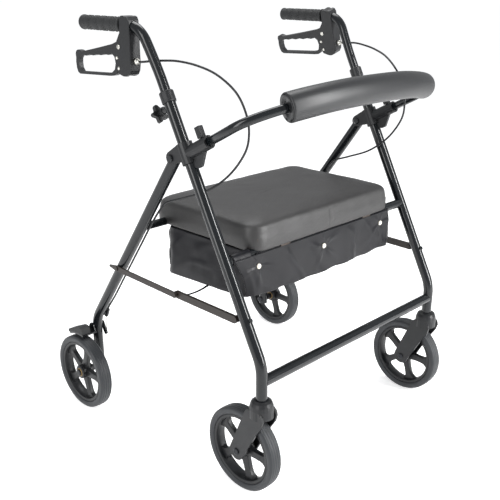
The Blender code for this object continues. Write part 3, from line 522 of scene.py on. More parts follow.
def copies_round(obj, finish, around, rows=1, pitch=0.0, stagger=0.0, first=0.0):
    """Geometry Nodes that copy a mesh round its Z axis, in rows that step along it."""
    tree = bpy.data.node_groups.new("copies_round", "GeometryNodeTree")
    face = tree.interface
    face.new_socket("Geometry", in_out="INPUT", socket_type="NodeSocketGeometry")
    for label, kind in (("Around", "Int"), ("Rows", "Int"), ("Pitch", "Float"),
                        ("Stagger", "Float"), ("First", "Float"), ("Finish", "Material")):
        face.new_socket(label, in_out="INPUT", socket_type="NodeSocket" + kind)
    face.new_socket("Geometry", in_out="OUTPUT", socket_type="NodeSocketGeometry")
    start, end = add_node(tree, "NodeGroupInput"), add_node(tree, "NodeGroupOutput")

    def sum_of(operation, a, b):
        return add_node(tree, "ShaderNodeMath", {"operation": operation}, {0: a, 1: b}).outputs[0]

    given = start.outputs
    total = sum_of("MULTIPLY", given["Around"], given["Rows"])
    line = add_node(tree, "GeometryNodeMeshLine", links={"Count": total})
    index = add_node(tree, "GeometryNodeInputIndex").outputs[0]
    row = add_node(tree, "ShaderNodeMath", {"operation": "FLOOR"},
                   {0: sum_of("DIVIDE", index, given["Around"])}).outputs[0]
    whole = add_node(tree, "ShaderNodeValue")
    whole.outputs[0].default_value = tau
    step = sum_of("DIVIDE", whole.outputs[0], given["Around"])
    angle = sum_of("ADD", sum_of("MULTIPLY", index, step),
                   sum_of("ADD", given["First"], sum_of("MULTIPLY", row, given["Stagger"])))
    lift = add_node(tree, "ShaderNodeCombineXYZ", links={"Z": sum_of("MULTIPLY", row,
                                                                    given["Pitch"])})
    spin = add_node(tree, "ShaderNodeCombineXYZ", links={"Z": angle})
    turned = add_node(tree, "FunctionNodeEulerToRotation", links={0: spin.outputs[0]})
    spots = add_node(tree, "GeometryNodeSetPosition",
                     links={"Geometry": line.outputs[0], "Position": lift.outputs[0]})
    copies = add_node(tree, "GeometryNodeInstanceOnPoints",
                      links={"Points": spots.outputs[0], "Instance": given["Geometry"],
                             "Rotation": turned.outputs[0]})
    real = add_node(tree, "GeometryNodeRealizeInstances", links={0: copies.outputs[0]})
    painted = add_node(tree, "GeometryNodeSetMaterial",
                       links={"Geometry": real.outputs[0], "Material": given["Finish"]})
    tree.links.new(painted.outputs[0], end.inputs[0])
    wanted = {"Around": around, "Rows": rows, "Pitch": pitch, "Stagger": stagger,
              "First": first, "Finish": finish}
    made = obj.modifiers.new("copies", "NODES")
    made.node_group = tree
    for item in face.items_tree:
        if item.in_out == "INPUT" and item.name in wanted:
            made[item.identifier] = wanted[item.name]
    return apply_all(obj)


bronze, tree, shader = new_material("oiled_sintered_bronze")
place = add_node(tree, "ShaderNodeTexCoord").outputs["Object"]
cloud = add_node(tree, "ShaderNodeTexNoise", {"Scale": 500.0, "Detail": 3.0}, {"Vector": place})
tint = add_node(tree, "ShaderNodeMix", {"data_type": "RGBA", 6: hex_colour("#6f5a3c"),
                                        7: hex_colour("#9a8258")}, {0: cloud.outputs["Fac"]})
tree.links.new(tint.outputs[2], shader.inputs["Base Color"])
shader.inputs["Metallic"].default_value = 0.7
shader.inputs["Roughness"].default_value = 0.45

for side in ("right", "left"):
    for wheel in WHEELS:
        place = wheel_place(f"{side}_{wheel}_tyre")
        rim = [*RIM] + [(radius, -along) for radius, along in RIM[-2::-1]]
        core = [*CORE] + [(radius, -along) for radius, along in CORE[::-1]]
        outline = [*SPOKE_OUTLINE] + [(r, -w) for r, w in SPOKE_OUTLINE[::-1]]
        spoke = lofted("spoke", [[(r, w, z) for r, w in outline]
                                 for z in (-SPOKE_HALF_THICK, SPOKE_HALF_THICK)])
        edge = spoke.modifiers.new("edge", "BEVEL")
        edge.width, edge.segments, edge.angle_limit = 0.0014, 2, radians(50)
        edge.limit_method = "ANGLE"
        copies_round(apply_all(spoke), moulded, SPOKES, first=FIRST_SPOKE)
        spoke.data.transform(place)
        hub = merged(f"{side}_{wheel}_spoked", [
            lathe("rim", rim + [rim[0]], 96, place), lathe("core", core + [core[0]], 40, place),
            spoke])
        dress(hub, moulded, "black_plastic", f"{side}_{wheel}", f"{side}_{wheel}_hub")
        flat = hub.modifiers.new("edges", "EDGE_SPLIT")
        flat.split_angle = radians(40)
        apply_all(hub)
    rings = [lathe("bush", [(radius, along * face) for radius, along in BUSH], 32,
                   wheel_place(f"{side}_rear_wheel_tyre")) for face in (1, -1)]
    dress(merged(f"{side}_bushes", rings), bronze, "zinc_steel", f"{side}_rear_wheel")

# ---- grips and brake pedals -----------------------------------------------------------------
# Soft black rubber, moulded: matt, and hardly marked.
grip_rubber, tree, shader = new_material("soft_black_rubber")
place = add_node(tree, "ShaderNodeTexCoord").outputs["Object"]
cloud = add_node(tree, "ShaderNodeTexNoise", {"Scale": 90.0, "Detail": 5.0}, {"Vector": place})
tint = add_node(tree, "ShaderNodeMix", {"data_type": "RGBA", 6: hex_colour("#1a1b1c"),
                                        7: hex_colour("#232425")}, {0: cloud.outputs["Fac"]})
tree.links.new(tint.outputs[2], shader.inputs["Base Color"])
shader.inputs["Roughness"].default_value = 0.6
shader.inputs["Specular IOR Level"].default_value = 0.4
give(grip_rubber, "grip_rubber", "*brake_pedal")

# ---- seat board -----------------------------------------------------------------------------
# Plywood under the cushion, stained dark: dull, with its grain drawn out across the seat.
ply, tree, shader = new_material("dark_stained_plywood")
place = add_node(tree, "ShaderNodeTexCoord").outputs["Object"]
stretch = add_node(tree, "ShaderNodeMapping", {"Scale": (6.0, 90.0, 90.0)}, {"Vector": place})
grain = add_node(tree, "ShaderNodeTexNoise", {"Scale": 3.0, "Detail": 8.0},
                 {"Vector": stretch.outputs[0]})
tint = add_node(tree, "ShaderNodeMix", {"data_type": "RGBA", 6: hex_colour("#2a2420"),
                                        7: hex_colour("#463a31")}, {0: grain.outputs["Fac"]})
tree.links.new(tint.outputs[2], shader.inputs["Base Color"])
shader.inputs["Roughness"].default_value = 0.7
give(ply, "seat_board", "seat_board")

# ---- seat cushion ---------------------------------------------------------------------------
# Foam on the board under dark grey embossed vinyl, pulled down over the edge into a skirt with
# one seam at the middle of its front. The cover is puffed with cloth simulation.
GRAIN_MM = 2.2
SKIRT_SAG = 0.0045          # how far the hem hangs past the foam along its front
COVER_POINTS = 260          # round the cover
SWELL_PRESSURE, SWELL_CAP = 4.0, 0.0036
HELD_BELOW = 0.030          # the skirt is held up to here over the foam's underside
SEAM_X, SEAM_HALF_GAP, SEAM_HALF_WIDE, SEAM_DEEP = 0.008, 0.0035, 0.0022, 0.0011


def subdivide(obj, levels=1):
    """Divides and rounds a piece's mesh."""
    finer = obj.modifiers.new("finer", "SUBSURF")
    finer.levels = finer.render_levels = levels
    return apply_all(obj)


def round_rectangle(half_x, low_y, high_y, radius, count):
    """count points evenly spread round a rectangle with round corners, anticlockwise."""
    points = []
    for side_x, side_y, turn in ((1, 1, 0), (-1, 1, 90), (-1, -1, 180), (1, -1, 270)):
        x = side_x * (half_x - radius)
        y = (high_y - radius) if side_y > 0 else (low_y + radius)
        points += [Vector((x + radius * cos(radians(turn + a)),
                           y + radius * sin(radians(turn + a)))) for a in range(0, 91, 6)]
    run = [0.0]
    for a, b in zip(points, points[1:] + points[:1]):
        run.append(run[-1] + (b - a).length)
    out, at = [], 0
    for i in range(count):
        want = run[-1] * i / count
        while run[at + 1] < want:
            at += 1
        share = (want - run[at]) / (run[at + 1] - run[at])
        out.append(points[at].lerp(points[(at + 1) % len(points)], share))
    return out


seat_low, seat_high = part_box("seat_cushion")
SEAT_HALF = seat_high.x
SEAT_MIDDLE = (seat_low.y + seat_high.y) / 2
HALF_DEPTH = (seat_high.y - seat_low.y) / 2
# The cover's wall, hem and top, as (distance in from the foam's side, height over its underside).
levels = [(0.0105, 0.0170), (0.0040, 0.0020), (0.0030, 0.0002), (0.0012, 0.0), (0.0002, 0.0018),
          (0.0, 0.0080), (0.0, 0.0160), (0.0, 0.0240), (0.0002, 0.0320), (0.0004, 0.0400),
          (0.0014, 0.0465), (0.0036, 0.0515), (0.0072, 0.0550), (0.0130, 0.0574)]
levels += [(0.0130 + 0.0100 * i, 0.0574 + 0.0042 * (1 - (1 - i / 15) ** 2)) for i in range(1, 16)]
rings = []
for inset, rise in levels:
    ring = round_rectangle(SEAT_HALF - inset, seat_low.y + inset, seat_high.y - inset,
                           max(0.040 - inset * 0.30, 0.004), COVER_POINTS)
    rings.append([Vector((p.x, p.y, seat_low.z + rise)) for p in ring])
cover = lofted("seat_cover", rings)
RINGS = len(rings)


def puff(obj, pressure, cap, held):
    """Blows a cover up a little with cloth simulation: no point moves further than cap, and
    those that held() names stay."""
    start = [v.co.copy() for v in obj.data.vertices]
    pins = obj.vertex_groups.new(name="held")
    pins.add([i for i, co in enumerate(start) if held(co)], 1.0, "REPLACE")
    cloth = obj.modifiers.new("cloth", "CLOTH")
    cloth.settings.use_pressure = True
    cloth.settings.uniform_pressure_force = pressure
    cloth.settings.effector_weights.gravity = 0
    cloth.settings.vertex_group_mass = "held"
    cloth.settings.quality = 6
    for f in range(1, 21):
        bpy.context.scene.frame_set(f)
    apply_all(obj)
    bpy.context.scene.frame_set(1)
    moved = np.array([v.co - co for v, co in zip(obj.data.vertices[:RINGS * COVER_POINTS],
                                                 start)]).reshape(RINGS, COVER_POINTS, 3)
    for _ in range(24):         # takes the cloth's buckles out, and leaves its swell
        moved = (moved + np.roll(moved, 1, 1) + np.roll(moved, -1, 1)) / 3
    far = np.linalg.norm(moved, axis=2, keepdims=True)
    moved *= np.minimum(1, cap / np.maximum(far, 1e-9))
    for v, co, step in zip(obj.data.vertices, start, moved.reshape(-1, 3)):
        v.co = co + Vector(step)
    crown = obj.data.vertices[RINGS * COVER_POINTS + 1]
    crown.co.z = obj.data.vertices[(RINGS - 1) * COVER_POINTS].co.z
    obj.vertex_groups.clear()


puff(cover, SWELL_PRESSURE, SWELL_CAP, lambda co: co.z < seat_low.z + HELD_BELOW)
smooth = cover.modifiers.new("even_out", "SMOOTH")
smooth.factor, smooth.iterations = 0.5, 4
apply_all(cover)
for v in cover.data.vertices:
    edge = (abs(v.co.x) / SEAT_HALF) ** 6 + (abs(v.co.y - SEAT_MIDDLE) / HALF_DEPTH) ** 6
    low = max(0.0, 1 - (v.co.z - seat_low.z) / 0.02)
    front = max(0.0, -(v.co.y - SEAT_MIDDLE) / HALF_DEPTH) ** 3
    if edge > 0.75:
        v.co.z -= SKIRT_SAG * low * (0.35 + 0.65 * front)
    slack = noise.noise(v.co * 16.0) * 0.0011 + noise.noise(v.co * 42.0) * 0.0004
    v.co += v.normal * slack * (1.0 if v.co.z > seat_low.z + 0.02 else 0.5)
subdivide(cover)
for v in cover.data.vertices:
    if v.co.y < seat_low.y + 0.02 and seat_low.z - 0.01 < v.co.z < seat_low.z + 0.05:
        for dx in (-SEAM_HALF_GAP, SEAM_HALF_GAP):
            groove = max(0.0, 1 - abs(v.co.x - SEAM_X - dx) / SEAM_HALF_WIDE)
            v.co.y += SEAM_DEEP * groove

vinyl, tree, shader = new_material("embossed_grey_vinyl")
place = add_node(tree, "ShaderNodeTexCoord").outputs["Object"]
pebble = add_node(tree, "ShaderNodeTexVoronoi", {"Scale": 1000 / GRAIN_MM,
                                                 "feature": "DISTANCE_TO_EDGE"},
                  {"Vector": place})
valley = add_node(tree, "ShaderNodeMapRange", {"From Max": 0.25}, {0: pebble.outputs[0]})
cloud = add_node(tree, "ShaderNodeTexNoise", {"Scale": 9.0, "Detail": 3.0}, {"Vector": place})
tint = add_node(tree, "ShaderNodeMix", {"data_type": "RGBA", 6: hex_colour("#191818"),
                                        7: hex_colour("#201f1f")}, {0: cloud.outputs["Fac"]})
bump = add_node(tree, "ShaderNodeBump", {"Strength": 0.4, "Distance": 0.0002},
                {"Height": valley.outputs[0]})
dull = add_node(tree, "ShaderNodeMapRange", {"From Min": 0.3, "From Max": 0.7, "To Min": 0.42,
                                             "To Max": 0.52}, {0: cloud.outputs["Fac"]})
for socket, source in (("Base Color", tint.outputs[2]), ("Roughness", dull.outputs[0]),
                       ("Normal", bump.outputs[0])):
    tree.links.new(source, shader.inputs[socket])
shader.inputs["Specular IOR Level"].default_value = 0.62
dress(cover, vinyl, "dark_grey_vinyl", "seat", "seat_cushion")

# ---- backrest pad ---------------------------------------------------------------------------
# A sleeve of closed-cell black foam pushed round the bent tube, smooth skinned, its cut ends
# a little rounded and standing clear of the tube.
PAD_R = 0.0303
PAD_TURN = 0.815            # how far round the bend it reaches each way
CUT_ROUND = 0.0030          # its cut ends are rounded over this
BORE_GAP_R, BORE_DEEP = 0.0112, 0.004
FACE_R = PAD_R - 0.008      # a ring half way across each cut face

line = [back_point(PAD_TURN * (i / 40 - 1)) for i in range(81)]
first, last = (line[0] - line[1]).normalized(), (line[-1] - line[-2]).normalized()
line = ([line[0] - first * BORE_DEEP, line[0], line[0], line[0], line[0] - first * 0.0006,
         line[0] - first * CUT_ROUND] + line[1:-1]
        + [line[-1] - last * CUT_ROUND, line[-1] - last * 0.0006, line[-1], line[-1], line[-1],
           line[-1] - last * BORE_DEEP])
radii = [BORE_GAP_R, BORE_GAP_R, FACE_R, PAD_R - CUT_ROUND, PAD_R - CUT_ROUND * 0.4, PAD_R]
radii += [PAD_R] * 79 + radii[::-1]
pad = sleeve("backrest_foam", line, radii, 56)
for v in pad.data.vertices:
    v.co += v.normal * 0.0005 * noise.noise(v.co * 14.0)

foam, tree, shader = new_material("black_foam_skin")
place = add_node(tree, "ShaderNodeTexCoord").outputs["Object"]
pore = add_node(tree, "ShaderNodeTexNoise", {"Scale": 900.0, "Detail": 2.0}, {"Vector": place})
cloud = add_node(tree, "ShaderNodeTexNoise", {"Scale": 12.0, "Detail": 3.0}, {"Vector": place})
tint = add_node(tree, "ShaderNodeMix", {"data_type": "RGBA", 6: hex_colour("#141517"),
                                        7: hex_colour("#1b1c1e")}, {0: cloud.outputs["Fac"]})
bump = add_node(tree, "ShaderNodeBump", {"Strength": 0.3, "Distance": 0.0001},
                {"Height": pore.outputs["Fac"]})
tree.links.new(tint.outputs[2], shader.inputs["Base Color"])
tree.links.new(bump.outputs[0], shader.inputs["Normal"])
shader.inputs["Roughness"].default_value = 0.42
shader.inputs["Specular IOR Level"].default_value = 0.5
dress(pad, foam, "black_foam", "backrest", "backrest_pad")

# ---- bag ------------------------------------------------------------------------------------
# A pouch of thin black nylon slung between the seat bars, open at the top. Its front panel
# comes up outside the front bar, its sides are slack and creased, and its floor sags.
BAG_POINTS = 360
SNAPS = ((-0.2390, 0.5060), (-0.0177, 0.4982), (0.2072, 0.5044))
BAG_ROWS = 34
CLOTH_THICK = 0.0012
LOOP_END = 0.3085           # the front panel is hemmed round the bar out to here
bag_low, bag_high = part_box("storage_bag")
bar_low, bar_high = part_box("front_seat_bar")
FLAP_Y = bar_low.y - 0.0030
BAG_TOP = seat_low.z - SKIRT_SAG - 0.0002


def bag_section(t):
    """One level of the bag, from its floor's edge (0) to its top (1)."""
    low = bag_low.y - 0.0030 + (FLAP_Y + 0.0050 - bag_low.y) * min(t * 1.6, 1)
    bulge = min((1 - t) / 0.14, 1)
    high = bag_high.y + 0.0125 * bulge - 0.0060 * sin(pi * t) * bulge
    out = []
    for p in round_rectangle(1.0, low, high, 0.0120, BAG_POINTS):
        back = min(max((p.y - low) / (high - low), 0), 1)
        wide = 0.2500 + 0.0030 * sin(pi * min(t * 1.1, 1)) + 0.0170 * (1 - t) * (1 - back)
        x = p.x * wide if abs(p.x) < 0.98 else (wide - (1 - abs(p.x))) * (1 if p.x > 0 else -1)
        floor_z = 0.4375 - 0.0235 * back**0.8 - 0.0060 * max(cos(x / wide * pi / 2), 0)
        out.append(Vector((x, p.y, floor_z + (BAG_TOP - floor_z) * t)))
    return out


FLOOR_RINGS, FLOOR_SAG = 9, 0.006
centre = Vector((0, (bag_low.y + bag_high.y) / 2, 0.4060))
edge = bag_section(0)
rings = []
for i in range(FLOOR_RINGS):
    share = 0.08 + 0.92 * i / FLOOR_RINGS
    sag = Vector((0, 0, FLOOR_SAG * (1 - share**2)))
    rings.append([centre.lerp(p, share) - sag for p in edge])
rings += [bag_section(i / BAG_ROWS) for i in range(BAG_ROWS + 1)]
bag = lofted("nylon_pouch", rings, cap_end=False)


def crease(co, direction, pitch, sharp, seed):
    """The height of soft creases that run across a direction, from 0 to 1."""
    warp = noise.noise(co * 9.0 + Vector((seed, 0, 0))) * 1.6
    wave = sin(tau * co.dot(direction) / pitch + warp * 2.2)
    return max(0.0, wave) ** sharp


for v in bag.data.vertices:
    co = v.co.copy()
    height = (co.z - 0.42) / 0.12
    slack = min(max(height * 4, 0.25), 1) * min(max((1.02 - height) * 3, 0.0), 1)
    side = abs(v.normal.x)
    patch = 0.5 + 0.5 * noise.noise(co * 7.0 + Vector((3.1, 0, 0)))
    deep = 0.0020 + 0.0034 * side
    ridges = (crease(co, Vector((0.8, 0.55, 0.75)).normalized(), 0.074, 3, 1.0)
              + 0.8 * crease(co, Vector((-0.7, 0.4, 0.9)).normalized(), 0.058, 4, 5.0)
              + 0.5 * crease(co, Vector((0.9, 0.5, -0.1)).normalized(), 0.043, 5, 9.0))
    v.co += v.normal * deep * slack * patch * (ridges - 0.6)
    v.co += v.normal * 0.0012 * slack * noise.noise(co * 38.0)
cloth_wall = bag.modifiers.new("cloth", "SOLIDIFY")
cloth_wall.thickness, cloth_wall.offset = CLOTH_THICK, -1
apply_all(bag)

# The front panel hangs outside the pouch from the bar. It has slid to the right, where its
# top reaches to the leg.
PANEL_ACROSS, PANEL_DOWN = 200, 34
PANEL_FOOT_Z, PANEL_FOOT_X, PANEL_FAR_X = 0.4370, 0.2660, 0.2430
work = bmesh.new()
rows = []
for i in range(PANEL_DOWN + 1):
    t = i / PANEL_DOWN
    half = PANEL_FOOT_X + (LOOP_END - PANEL_FOOT_X) * t**1.6
    row = []
    for k in range(PANEL_ACROSS + 1):
        x = -half + (half + PANEL_FAR_X) * k / PANEL_ACROSS
        foot = PANEL_FOOT_Z - 0.0050 * cos(x / half * pi / 2) + 0.0016 * sin(x * 70)
        curl = 0.0016 * sin(pi * t) - 0.010 * max(0.0, abs(x) / half - 0.94) / 0.06 * (1 - t)
        row.append(work.verts.new((x, FLAP_Y - curl, foot + (bar_low.z + 0.012 - foot) * t)))
    rows.append(row)
for low, high in zip(rows, rows[1:]):
    for k in range(PANEL_ACROSS):
        work.faces.new((low[k], low[k + 1], high[k + 1], high[k]))
panel_mesh = bpy.data.meshes.new("front_panel")
work.to_mesh(panel_mesh)
work.free()
panel = link_mesh("front_panel", panel_mesh)
for v in panel.data.vertices:
    co = v.co.copy()
    down = min(max((0.530 - co.z) / 0.02, 0), 1)
    for x, z in SNAPS:
        away = Vector((co.x - x, co.z - z))
        if away.length > 0.004:
            spread = atan2(away.y, away.x)
            star = max(0.0, sin(spread * 5 + x * 40 + noise.noise(co * 20.0))) ** 2
            v.co.y -= (0.0032 * star * min(away.length / 0.02, 1)
                       * exp(-away.length / 0.045) * down)
    v.co.y -= 0.0022 * down * noise.noise(Vector((co.x * 17, 0, co.z * 9)))
    v.co.y -= 0.0016 * down * crease(co, Vector((0.8, 0, 0.6)), 0.083, 4, 2.0)
cloth_wall = panel.modifiers.new("cloth", "SOLIDIFY")
cloth_wall.thickness, cloth_wall.offset = CLOTH_THICK, 0
apply_all(panel)

# The hem of the front panel shows as a loop round the bar beside the seat.
LOOP_FROM, LOOP_R = 0.2560, 0.0134
bar_at = (bar_low + bar_high) / 2
line = [Vector((-LOOP_FROM - (LOOP_END - LOOP_FROM) * i / 24, bar_at.y, bar_at.z))
        for i in range(25)]
loop = sleeve("bag_loop", line, [LOOP_R] * 25, 48)
for v in loop.data.vertices:
    v.co += v.normal * 0.0007 * noise.noise(v.co * 60.0)

THREAD_MM = 1.0     # nylon yarn is near 0.3 mm: drawn coarser, so that it shows
nylon, tree, shader = new_material("thin_black_nylon")
place = add_node(tree, "ShaderNodeTexCoord").outputs["Object"]
cloud = add_node(tree, "ShaderNodeTexNoise", {"Scale": 16.0, "Detail": 4.0}, {"Vector": place})
tint = add_node(tree, "ShaderNodeMix", {"data_type": "RGBA", 6: hex_colour("#08080c"),
                                        7: hex_colour("#0e0e13")}, {0: cloud.outputs["Fac"]})
warp = add_node(tree, "ShaderNodeTexWave", {"Scale": 500 / THREAD_MM / tau * 2,
                                            "bands_direction": "Z"}, {"Vector": place})
weft = add_node(tree, "ShaderNodeTexWave", {"Scale": 500 / THREAD_MM / tau * 2,
                                            "bands_direction": "DIAGONAL"}, {"Vector": place})
weave = add_node(tree, "ShaderNodeMath", {"operation": "MULTIPLY"},
                 {0: warp.outputs["Fac"], 1: weft.outputs["Fac"]})
bump = add_node(tree, "ShaderNodeBump", {"Strength": 0.25, "Distance": 0.0001},
                {"Height": weave.outputs[0]})
tree.links.new(tint.outputs[2], shader.inputs["Base Color"])
tree.links.new(bump.outputs[0], shader.inputs["Normal"])
shader.inputs["Roughness"].default_value = 0.34
shader.inputs["Specular IOR Level"].default_value = 0.24
shader.inputs["Sheen Weight"].default_value = 0.02
shader.inputs["Sheen Roughness"].default_value = 0.4
dress(bag, nylon, "black_nylon", "frame", "storage_bag")
dress(loop, nylon, "black_nylon", "frame")
dress(panel, nylon, "black_nylon", "frame")

# A webbing strap at each side ties the bag's floor to the spreader beside it.
STRAP_HALF_WIDE, STRAP_HALF_THICK = 0.0042, 0.0007
STRAP_ROUTE = ((0.2380, -0.0830, 0.4190), (0.2500, -0.0810, 0.4135), (0.2680, -0.0780, 0.4085),
               (0.2860, -0.0750, 0.4062), (0.3040, -0.0735, 0.4068), (0.3200, -0.0735, 0.4085))
for side, mirror in (("right", -1), ("left", 1)):
    spots = [Vector(p) for p in STRAP_ROUTE]
    rings = []
    for i, spot in enumerate(spots):
        ahead = spots[min(i + 1, len(spots) - 1)] - spots[max(i - 1, 0)]
        across = Vector((0, 1, 0)).cross(ahead).normalized()
        wide = Vector((0, STRAP_HALF_WIDE * (1 + 0.25 * (i == 0)), 0))
        thick = across * STRAP_HALF_THICK
        rings.append([Vector((mirror * q.x, q.y, q.z)) for q in (
            spot + wide + thick, spot - wide + thick, spot - wide - thick, spot + wide - thick)])
    strap = lofted(f"{side}_strap", rings)
    dress(subdivide(strap, 2), nylon, "black_nylon", "frame", f"{side}_bag_tie")

# ---- snap studs -----------------------------------------------------------------------------
# Three press studs hold the bag's front panel: domed caps, cream white, in pressed rims.
SNAP_R = 0.0062


def bag_front(x, z):
    """How far forward the front panel stands near (x, z)."""
    near = [v.co.y for v in panel.data.vertices
            if abs(v.co.x - x) < 0.007 and abs(v.co.z - z) < 0.007]
    return min(near)


studs = []
for x, z in SNAPS:
    at = Matrix.Translation((x, bag_front(x, z) + 0.0008, z)) @ Matrix.Rotation(pi / 2, 4, "X")
    studs.append(lathe("stud", [(0, 0.0038), (SNAP_R * 0.30, 0.0037), (SNAP_R * 0.42, 0.0030),
                                (SNAP_R * 0.60, 0.0029), (SNAP_R * 0.85, 0.0030), (SNAP_R, 0.0018),
                                (SNAP_R, -0.0010), (0, -0.0012)], 28, at))
studs = merged("snap_studs", studs)
cream, tree, shader = new_material("cream_enamelled_brass")
place = add_node(tree, "ShaderNodeTexCoord").outputs["Object"]
cloud = add_node(tree, "ShaderNodeTexNoise", {"Scale": 300.0, "Detail": 3.0}, {"Vector": place})
tint = add_node(tree, "ShaderNodeMix", {"data_type": "RGBA", 6: hex_colour("#cfc9bd"),
                                        7: hex_colour("#e4dfd3")}, {0: cloud.outputs["Fac"]})
tree.links.new(tint.outputs[2], shader.inputs["Base Color"])
shader.inputs["Roughness"].default_value = 0.3
shader.inputs["Metallic"].default_value = 0.25
dress(studs, cream, "zinc_steel", "frame")

# ---- hand grips -----------------------------------------------------------------------------
# Moulded rubber sleeves pushed on to the handle tubes: a flange against the brake, a palm
# swell, shallow finger rings and staggered rows of raised pips.
PIPS_ROUND, PIP_ROWS, PIP_PITCH = 16, 20, 0.0060
GRIP_R, PIP_FROM = 0.0149, 0.0125
FINGER_RINGS, RING_HEIGHT, PALM_SWELL = 5, 0.0006, 0.0004
FLANGE = ((0.0112, 0.0), (0.0152, 0.0), (0.0166, 0.0010), (0.0168, 0.0028), (0.0164, 0.0046),
          (0.0150, 0.0060))
# The closed end, as (radius, distance back from the end).
GRIP_END = ((0.0156, 0.0062), (0.0163, 0.0042), (0.0160, 0.0018), (0.0140, 0.0004),
            (0.0100, 0.0), (0, 0.0))

for side in ("right", "left"):
    node = f"{side}_hand_grip"
    low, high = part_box(node)
    length = high.y - low.y
    place = (Matrix.Translation(((low.x + high.x) / 2, low.y, (low.z + high.z) / 2))
             @ Matrix.Rotation(-pi / 2, 4, "X"))
    profile = [*FLANGE]
    for k in range(1, 60):
        along = 0.0060 + (length - 0.0130) * k / 60
        ring = RING_HEIGHT * sin(tau * k / 60 * FINGER_RINGS) if 8 < k < 54 else 0
        profile.append((GRIP_R + PALM_SWELL * sin(pi * k / 60) + ring, along))
    profile += [(radius, length - back) for radius, back in GRIP_END]
    pip = lathe("pip", [(0.0015, 0), (0.0013, 0.0006), (0.0007, 0.0009), (0, 0.0009)], 8,
                Matrix.Translation((GRIP_R, 0, PIP_FROM)) @ Matrix.Rotation(pi / 2, 4, "Y"))
    copies_round(pip, grip_rubber, PIPS_ROUND, PIP_ROWS, PIP_PITCH, pi / PIPS_ROUND)
    pip.data.transform(place)
    dress(merged(node + "_sleeve", [lathe("sleeve", profile, 48, place), pip]), grip_rubber,
          "grip_rubber", f"{side}_handle", node)

# ---- brake fittings -------------------------------------------------------------------------
# Zinc-plated rivets that close the brake housings, and the barrel nut that tightens each
# cable. The left brake is clamped with its foot swung outward, so its pieces are turned.
RIVETS = ((0.0815, 0.9262), (0.0768, 0.9045))      # (y, z) on each face of a housing
HOUSING_HALF = 0.0142
NUT_FROM, NUT_Z = 0.0337, 0.9213
LEFT_BRAKE_TURN = radians(18)
NUT = [(0, 0), (0.0060, 0), (0.0066, 0.0008), (0.0066, 0.0060), (0.0058, 0.0068),
       (0.0040, 0.0072), (0.0040, 0.0125), (0.0026, 0.0129), (0, 0.0129)]
DOME = [(0, 0.0022), (0.0018, 0.0020), (0.0034, 0.0010), (0.0038, 0), (0.0038, -0.0010),
        (0, -0.0010)]

for side, mirror in (("right", -1), ("left", 1)):
    pivot = Matrix.Translation((mirror * GRIP.x, 0, GRIP.z))
    swing = Matrix.Rotation(-LEFT_BRAKE_TURN if mirror > 0 else 0, 4, "Y")
    turn = pivot @ swing @ pivot.inverted()
    domes = []
    for y, z in RIVETS:
        for face in (-1, 1):
            at = Matrix.Translation((mirror * GRIP.x + face * HOUSING_HALF, y, z))
            outward = Matrix.Rotation(face * pi / 2, 4, "Y")
            domes.append(lathe("dome", DOME, 20, turn @ at @ outward))
    dress(merged(f"{side}_rivets", domes), zinc, "zinc_steel", f"{side}_handle")
    at = (Matrix.Translation((mirror * GRIP.x, NUT_FROM, NUT_Z))
          @ Matrix.Rotation(pi / 2, 4, "X"))
    dress(lathe(f"{side}_barrel_nut", NUT, 24, turn @ at), zinc, "zinc_steel",
          f"{side}_handle", f"{side}_cable_adjuster")

# ---- brake cables ---------------------------------------------------------------------------
# Springy cables in a smooth black PVC skin, from the barrel nut in a wide loop in front of
# the walker and down beside the rear leg to its stop; there the bare wire goes on to the brake.
# Each cable bends by the side bracket, where the rear frame folds.
CABLE_R, WIRE_R = 0.0024, 0.0010
ROUTE = ((-0.2770, -0.2150, 0.8757), (-0.2740, -0.2400, 0.8366), (-0.2730, -0.2472, 0.7971),
         (-0.2760, -0.2376, 0.7569), (-0.2820, -0.1966, 0.7056), (-0.2890, -0.1364, 0.6635),
         (-0.2970, -0.0642, 0.6345), (-0.3020, -0.0150, 0.6162), (-0.3030, 0.0060, 0.5980))
RIGHT_START = ((-0.3310, 0.0300, 0.9213), (-0.3310, 0.0130, 0.9215), (-0.3190, -0.0010, 0.9232),
               (-0.3045, -0.0260, 0.9252), (-0.2950, -0.0630, 0.9259),
               (-0.2880, -0.1150, 0.9201), (-0.2820, -0.1670, 0.9055))
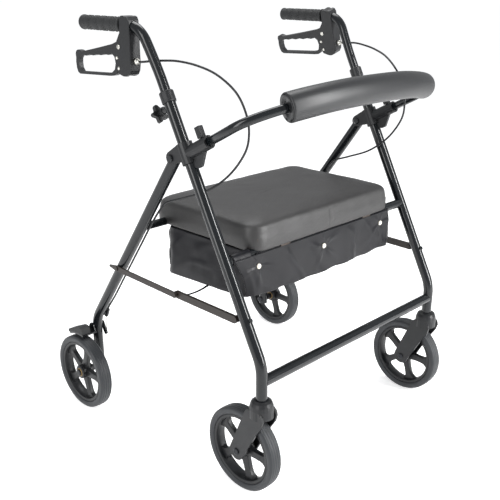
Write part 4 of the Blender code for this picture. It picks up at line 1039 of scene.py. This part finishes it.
LEFT_START = ((0.3535, 0.0300, 0.9249), (0.3535, 0.0120, 0.9251), (0.3505, -0.0070, 0.9265),
              (0.3445, -0.0300, 0.9280), (0.3310, -0.0650, 0.9265), (0.3130, -0.1150, 0.9201),
              (0.2950, -0.1670, 0.9055))
BESIDE_LEG = ((-0.3105, 0.0308, 0.5607), (-0.3105, 0.0621, 0.5177), (-0.3105, 0.1022, 0.4627),
              (-0.3105, 0.1604, 0.3827), (-0.3105, 0.2004, 0.3277), (-0.3080, 0.2404, 0.2800),
              (-0.3080, 0.2490, 0.2620), (-0.3080, 0.2550, 0.2494))
WIRE = ((-0.3080, 0.2555, 0.2485), (-0.3050, 0.2600, 0.2400), (-0.3016, 0.2660, 0.2180),
        (-0.3016, 0.2665, 0.1990))


def smooth_path(points, count):
    """Points evenly spread along a smooth curve through the given ones."""
    points = [Vector(p) for p in points]
    ends = [2 * points[0] - points[1], *points, 2 * points[-1] - points[-2]]
    fine = []
    for a, b, c, d in zip(ends, ends[1:], ends[2:], ends[3:]):
        for i in range(24):
            t = i / 24
            fine.append(0.5 * (2 * b + (c - a) * t + (2 * a - 5 * b + 4 * c - d) * t**2
                               + (3 * b - a - 3 * c + d) * t**3))
    fine.append(points[-1])
    run = [0.0]
    for a, b in zip(fine, fine[1:]):
        run.append(run[-1] + (b - a).length)
    out, at = [], 0
    for i in range(count):
        want = run[-1] * i / (count - 1)
        while at < len(fine) - 2 and run[at + 1] < want:
            at += 1
        out.append(fine[at].lerp(fine[at + 1], (want - run[at]) / (run[at + 1] - run[at])))
    return out


for side, mirror, start in (("right", 1, RIGHT_START), ("left", -1, LEFT_START)):
    rest = [(x * mirror, y, z) for x, y, z in ROUTE + BESIDE_LEG]
    path = smooth_path(list(start) + rest, 240)
    cable = sleeve(f"{side}_cable", path, [CABLE_R] * len(path), 14)
    dress(cable, moulded, "black_plastic", None, f"{side}_brake_cable")
    length = sum((b - a).length for a, b in zip(path, path[1:]))
    wire = [Vector((x * mirror, y, z)) for x, y, z in WIRE]
    core = dress(sleeve(f"{side}_wire", wire, [WIRE_R] * len(wire), 10), zinc, "zinc_steel",
                 "rear_frame")
    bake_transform(cable)
